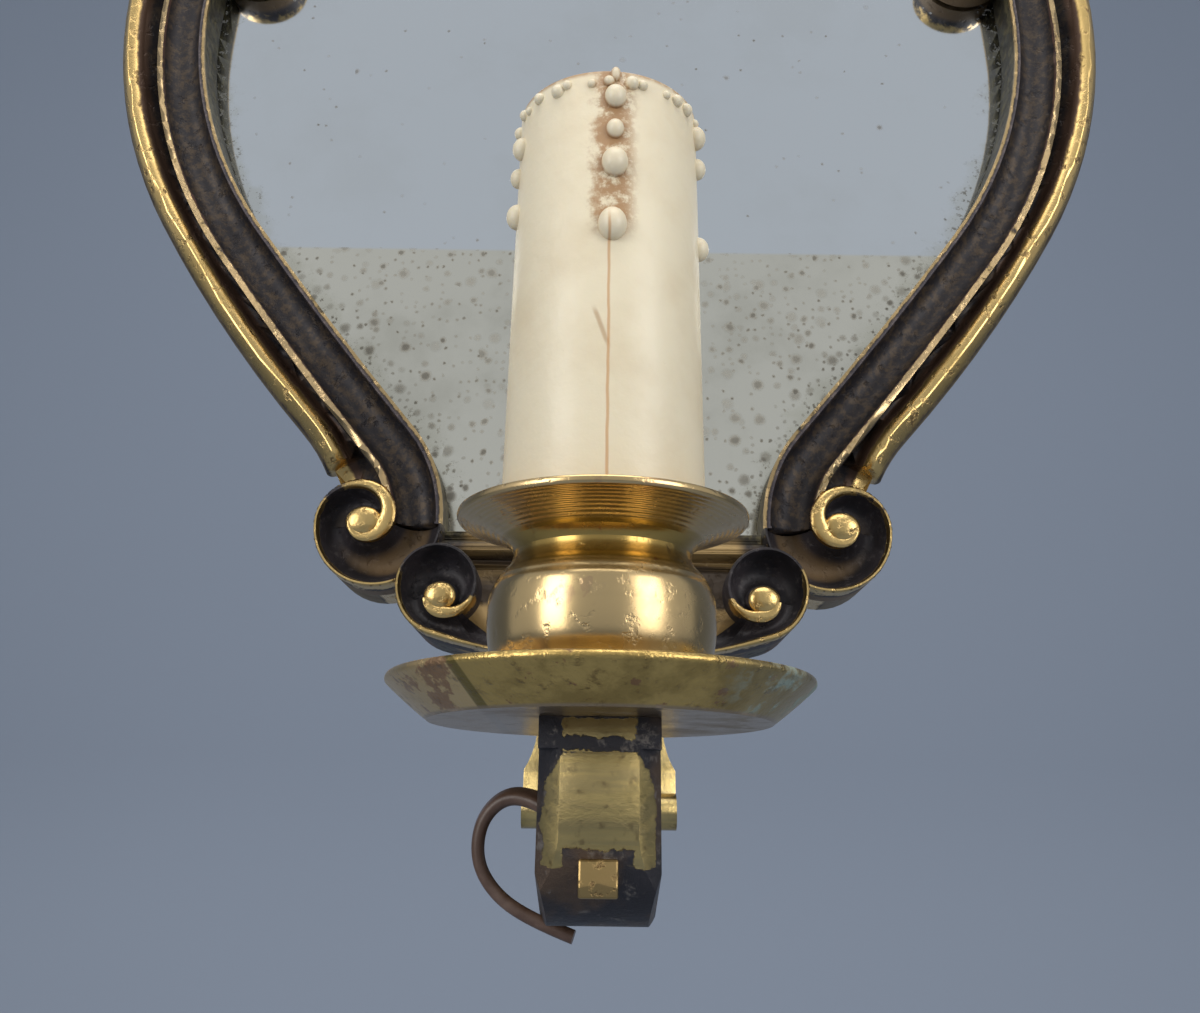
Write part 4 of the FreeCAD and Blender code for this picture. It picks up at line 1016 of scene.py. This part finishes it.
def armMaterial():
    material, tree, shader = newMaterial("armBrass")
    spot = objectCoords(tree)
    stain, pits, _ = wear(tree, spot, 1.6)
    depth = axisValue(tree, spot, "Y")
    mottle = noise(tree, spot, 520.0, 8.0, 0.72)
    ragged = times(tree, minus(tree, mottle, 0.5), 0.0022)
    panel = boxMask(tree, spot, *armLook["panel"], 0.0002, ragged, 0.62)
    strip = boxMask(tree, spot, *armLook["strip"], 0.0003, ragged)
    collar = boxMask(tree, spot, *armLook["collar"], 0.0002, ragged)
    foot = ramp(tree, axisValue(tree, spot, "Z"), *armLook["foot"])
    polish = larger(tree, minus(tree, panel, times(tree, strip, 0.75)),
                   times(tree, collar, 0.8))
    polish = larger(tree, polish, times(tree, foot, 0.45))
    ahead = ramp(tree, depth, -0.0690, -0.0705)
    # behind the front limb the leaf and its roll are worn bright again
    leaf = times(tree, ramp(tree, depth, -0.0060, -0.0040, 1.0, 0.0),
                 ramp(tree, depth, -0.0500, -0.0450))
    polish = larger(tree, times(tree, polish, ahead), times(tree, leaf, 0.75))
    polish = ramp(tree, plus(tree, polish, wobble(tree, spot, 0.8, 330.0, 5.0, 0.6)), 0.38, 0.62)
    brushed = noise(tree, spot, 900.0, 3.0, 0.5, stretch=(0.08, 1.0, 1.0))
    gold = mixColour(tree, ramp(tree, stain, 0.0, 1.0, 0.0, 0.55), *armLook["golds"])
    gold = mixColour(tree, ramp(tree, brushed, 0.42, 0.62, 0.0, 0.35), gold, armLook["brushed"])
    gold = mixColour(tree, times(tree, pits, 0.55), gold, brass["brown"])
    dark = mixColour(tree, ramp(tree, noise(tree, spot, 150.0, 4.0), 0.42, 0.62), *armLook["darks"])
    dark = mixColour(tree, ramp(tree, mottle, 0.54, 0.66, 0.0, 0.7), dark, armLook["speck"])
    tree.links.new(mixColour(tree, polish, dark, gold), shader.inputs["Base Color"])
    tree.links.new(ramp(tree, polish, 0.0, 1.0, 0.55, 1.0), shader.inputs["Metallic"])
    tree.links.new(ramp(tree, polish, 0.0, 1.0, 0.42, 0.26), shader.inputs["Roughness"])
    unevenness = times(tree, mottle, minus(tree, 1.3, polish))  # deepest where it isn't polished
    addBump(tree, shader, plus(tree, unevenness, times(tree, brushed, 0.12)), 0.00022)
    return material


bossPiece = buildBoss()
setMaterial(bossPiece, brassMaterial("bossBrass", 2.2, 0.8, 0.34, (0.36, 0.245, 0.10)))
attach(bossPiece, "mirror")
setMaterial(armPiece, armMaterial())
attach(armPiece, "mirror")
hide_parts("arm")
print("arm made")


# candle sleeve and its wax

candle = {
    "axisDepth": cup["axisDepth"],
    "foot": -0.13685,
    "top": -0.0719,
    "radius": 0.0135,
    "wall": 0.0013,
    "lipSoft": 0.00045,
    # each drop's turn round the sleeve in degrees, its way below the top and its radius in millimetres
    "beads": [(4, 4.8, 1.6), (4, 10.4, 1.3), (4, 16.0, 1.9), (3, 25.9, 2.0), (-72, 7.6, 1.5),
              (-80, 11.6, 1.3), (-78, 18.6, 1.6), (78, 4.2, 1.6), (82, 9.2, 1.4), (84, 22.8, 1.5)],
    "rimBeads": 30,
    "rimBeadRadius": 0.00085,
}


def waxBead(around, below, radius, tall=1.25):
    angle = math.radians(around)
    bpy.ops.mesh.primitive_uv_sphere_add(
        segments=20, ring_count=14, radius=radius,
        location=(candle["radius"] * math.sin(angle), candle["axisDepth"] - candle["radius"] * math.cos(angle),
                  candle["top"] - below))
    bead = bpy.context.object
    bead.scale = (1.0, 1.0, tall)
    settle(bead)
    return bead


def buildSleeve():
    deselectAll()
    height = candle["top"] - candle["foot"]
    bpy.ops.mesh.primitive_cylinder_add(vertices=112, radius=candle["radius"], depth=height,
                                        end_fill_type="NOTHING",
                                        location=(0, candle["axisDepth"], candle["foot"] + height / 2))
    tube = bpy.context.object
    tube.name = "waxSleeve"
    settle(tube)
    wall = tube.modifiers.new("wall", "SOLIDIFY")
    wall.thickness = candle["wall"]
    wall.offset = -1.0
    softenEdges(tube, candle["lipSoft"], 3, 50)
    applyModifiers(tube)
    beads = [waxBead(around, below / 1000, radius / 1000) for around, below, radius in candle["beads"]]
    for index in range(candle["rimBeads"]):
        around = 360 * index / candle["rimBeads"] + 3 * math.sin(index * 2.4)
        size = candle["rimBeadRadius"] * (1 + 0.25 * math.sin(index * 1.7))
        beads.append(waxBead(around, 0.0021 + 0.0003 * math.sin(index * 3.1), size, 1.05))
    beads.append(waxBead(4, 0.0008, 0.00075, 1.7))
    makeActive(tube)
    for bead in beads:
        bead.select_set(True)
    bpy.ops.object.join()
    layer = tube.data.attributes.new("proud", "FLOAT", "POINT")
    for vertex in tube.data.vertices:
        reach = (vertex.co.xy - Vector((0, candle["axisDepth"]))).length - candle["radius"]
        layer.data[vertex.index].value = min(1.0, max(0.0, reach / 0.0009))
    smooth(tube, 45)
    return tube


def sleeveMaterial():
    material, tree, shader = newMaterial("ivoryWax")
    spot = objectCoords(tree)
    across = axisValue(tree, spot, "X")
    along = axisValue(tree, spot, "Y")
    height = axisValue(tree, spot, "Z")
    cloud = noise(tree, spot, 90.0, 4.0)
    colour = mixColour(tree, ramp(tree, cloud, 0.38, 0.80), (0.76, 0.665, 0.475), (0.68, 0.57, 0.385))
    fine = noise(tree, spot, 420.0, 6.0, 0.7)
    front = ramp(tree, along, candle["axisDepth"] - 0.011, candle["axisDepth"] - 0.008, 1.0, 0.0)
    # dirt round the middle chain of drops, and in the ring under the rim
    sway = times(tree, minus(tree, fine, 0.5), 0.006)
    offCentre = math2(tree, "ABSOLUTE", minus(tree, plus(tree, across, sway), 0.0009))
    chain = times(tree, ramp(tree, offCentre, 0.0014, 0.0036, 1.0, 0.0),
                  ramp(tree, height, candle["top"] - 0.029, candle["top"] - 0.024))
    chain = times(tree, times(tree, chain, front), ramp(tree, fine, 0.34, 0.52))
    rim = ramp(tree, height, candle["top"] - 0.0012, candle["top"] - 0.0002)
    rim = times(tree, rim, ramp(tree, fine, 0.30, 0.55, 0.35, 1.0))
    specks = times(tree, ramp(tree, fine, 0.68, 0.76), 0.4)
    dirt = larger(tree, larger(tree, chain, rim), specks)
    # a short slanted scratch beside the seam, and the raised drops stay clean
    slant = plus(tree, across, times(tree, plus(tree, height, 0.1130), 0.35))
    scratch = times(tree, between(tree, slant, -0.0009, -0.0003, 0.0002),
                    between(tree, height, -0.1155, -0.1105, 0.0008))
    dirt = larger(tree, dirt, times(tree, times(tree, scratch, front), 0.6))
    proud = ramp(tree, attribute(tree, "proud"), 0.2, 0.9)
    dirt = times(tree, dirt, minus(tree, 1.0, times(tree, proud, 0.85)))
    colour = mixColour(tree, times(tree, dirt, 0.85), colour, (0.33, 0.155, 0.045))
    colour = mixColour(tree, times(tree, proud, 0.4), colour, (0.80, 0.70, 0.50))
    # thin seam down the front, from the lowest drop to the cup
    wander = wobble(tree, spot, 0.0005, 160.0, 2.0)
    seamAway = math2(tree, "ABSOLUTE", minus(tree, plus(tree, across, wander), 0.0003))
    seam = times(tree, ramp(tree, seamAway, 0.00008, 0.00030, 1.0, 0.0), front)
    seam = times(tree, seam, ramp(tree, height, candle["top"] - 0.027, candle["top"] - 0.024, 1.0, 0.0))
    colour = mixColour(tree, times(tree, seam, 0.62), colour, (0.50, 0.22, 0.05))
    tree.links.new(colour, shader.inputs["Base Color"])
    tree.links.new(ramp(tree, cloud, 0.3, 0.8, 0.36, 0.52), shader.inputs["Roughness"])
    shader.inputs["Subsurface Weight"].default_value = 0.10
    shader.inputs["Subsurface Radius"].default_value = (0.003, 0.002, 0.001)
    height2 = plus(tree, noise(tree, spot, 700.0, 3.0), times(tree, seam, -0.8))
    addBump(tree, shader, height2, 0.00006)
    return material


sleevePiece = buildSleeve()
setMaterial(sleevePiece, sleeveMaterial())
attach(sleevePiece, "sleeve")
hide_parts("candle_sleeve")
print("sleeve made")


# fittings and the back

def woodMaterial():
    material, tree, shader = newMaterial("backBoard")
    spot = objectCoords(tree)
    grain = noise(tree, spot, 60.0, 6.0, 0.6, stretch=(1.0, 1.0, 0.06))
    colour = mixColour(tree, ramp(tree, grain, 0.35, 0.7), (0.20, 0.12, 0.06), (0.10, 0.055, 0.028))
    tree.links.new(colour, shader.inputs["Base Color"])
    shader.inputs["Roughness"].default_value = 0.7
    addBump(tree, shader, grain, 0.0003)
    return material


def plainMaterial(name, colour, roughness, metallic=0.0):
    material, tree, shader = newMaterial(name)
    spot = objectCoords(tree)
    mottle = noise(tree, spot, 240.0, 5.0)
    darker = tuple(channel * 0.55 for channel in colour)
    tree.links.new(mixColour(tree, ramp(tree, mottle, 0.42, 0.72, 0.0, 0.6), colour, darker),
                   shader.inputs["Base Color"])
    shader.inputs["Metallic"].default_value = metallic
    tree.links.new(ramp(tree, mottle, 0.3, 0.8, roughness, roughness + 0.15), shader.inputs["Roughness"])
    addBump(tree, shader, mottle, 0.00004)
    return material


plainBrass = brassMaterial("fittingBrass", 1.5, 0.4, 0.3)
screwSteel = plainMaterial("screwSteel", (0.42, 0.39, 0.35), 0.35, 1.0)
repaint("backing_board", woodMaterial())
for name in nodes:
    if name.startswith("turn_button_") and name != "turn_button_screws":
        repaint(name, plainBrass)
for name in ("hanger_strap", "hanging_ring", "nipple", "nipple_nut", "holder_base", "lamp_shell",
             "centre_contact"):
    repaint(name, plainBrass)
for name in ("turn_button_screws", "hanger_screws", "arm_screws", "terminal_screws"):
    repaint(name, screwSteel)
repaint("holder_body", plainMaterial("holderCeramic", (0.72, 0.69, 0.62), 0.2))
repaint("holder_skirt", plainMaterial("holderPlastic", (0.66, 0.60, 0.47), 0.4))
repaint("flex_in_nipple", plainMaterial("flexInside", (0.10, 0.055, 0.035), 0.5))
print("fittings painted")

# studio: a floor that curves up into a backdrop, two soft boxes in front and one above

studio = {
    "floorHeight": -0.45,
    "wallDepth": 1.1,
    "colour": (0.275, 0.315, 0.385),
    "world": (0.53, 0.56, 0.60),
    "worldStrength": 0.95,
    "lamp": (1.0, 0.98, 0.95),
    # name, place, what it faces, size and power
    "boxes": [("leftBox", (-0.75, -0.75, 0.15), (0, 0, -0.05), (0.45, 0.7), 5.0),
              ("rightBox", (0.75, -0.75, 0.15), (0, 0, -0.05), (0.45, 0.7), 5.0),
              ("topBox", (0.0, -0.4, 0.9), (0, 0, 0), (0.9, 0.6), 5.0)],
}


def buildBackdrop():
    deselectAll()
    bpy.ops.mesh.primitive_plane_add(size=1.0, location=(0, -1.0, studio["floorHeight"]))
    piece = bpy.context.object
    piece.name = "backdrop"
    piece.scale = (12.0, 2 * (studio["wallDepth"] + 1.0), 1.0)
    settle(piece)
    bpy.ops.object.mode_set(mode="EDIT")
    bpy.ops.mesh.select_all(action="DESELECT")
    bpy.ops.object.mode_set(mode="OBJECT")
    back = max(vertex.co.y for vertex in piece.data.vertices)
    for edge in piece.data.edges:
        edge.select = all(abs(piece.data.vertices[v].co.y - back) < 1e-4 for v in edge.vertices)
    bpy.ops.object.mode_set(mode="EDIT")
    bpy.ops.mesh.extrude_region_move(TRANSFORM_OT_translate={"value": (0, 0, 4.0)})
    bpy.ops.object.mode_set(mode="OBJECT")
    corner = piece.modifiers.new("sweep", "BEVEL")
    corner.width = 0.35
    corner.segments = 10
    applyModifiers(piece)
    smooth(piece, 60)
    material, tree, shader = newMaterial("backdropPaper")
    spot = objectCoords(tree)
    tone = mixColour(tree, noise(tree, spot, 1.2, 2.0), studio["colour"],
                     tuple(channel * 0.93 for channel in studio["colour"]))
    tree.links.new(tone, shader.inputs["Base Color"])
    shader.inputs["Roughness"].default_value = 0.9
    setMaterial(piece, material)


buildBackdrop()
for name, place, target, size, power in studio["boxes"]:
    data = bpy.data.lights.new(name, "AREA")
    data.shape = "RECTANGLE"
    data.size, data.size_y = size
    data.energy = power
    data.color = studio["lamp"]
    light = bpy.data.objects.new(name, data)
    scene.collection.objects.link(light)
    light.location = place
    light.rotation_euler = (Vector(target) - Vector(place)).to_track_quat("-Z", "Y").to_euler()
world = bpy.data.worlds.new("studioWorld")
scene.world = world
world.use_nodes = True
background = world.node_tree.nodes["Background"]
background.inputs["Color"].default_value = studio["world"] + (1.0,)
background.inputs["Strength"].default_value = studio["worldStrength"]
print("studio set")
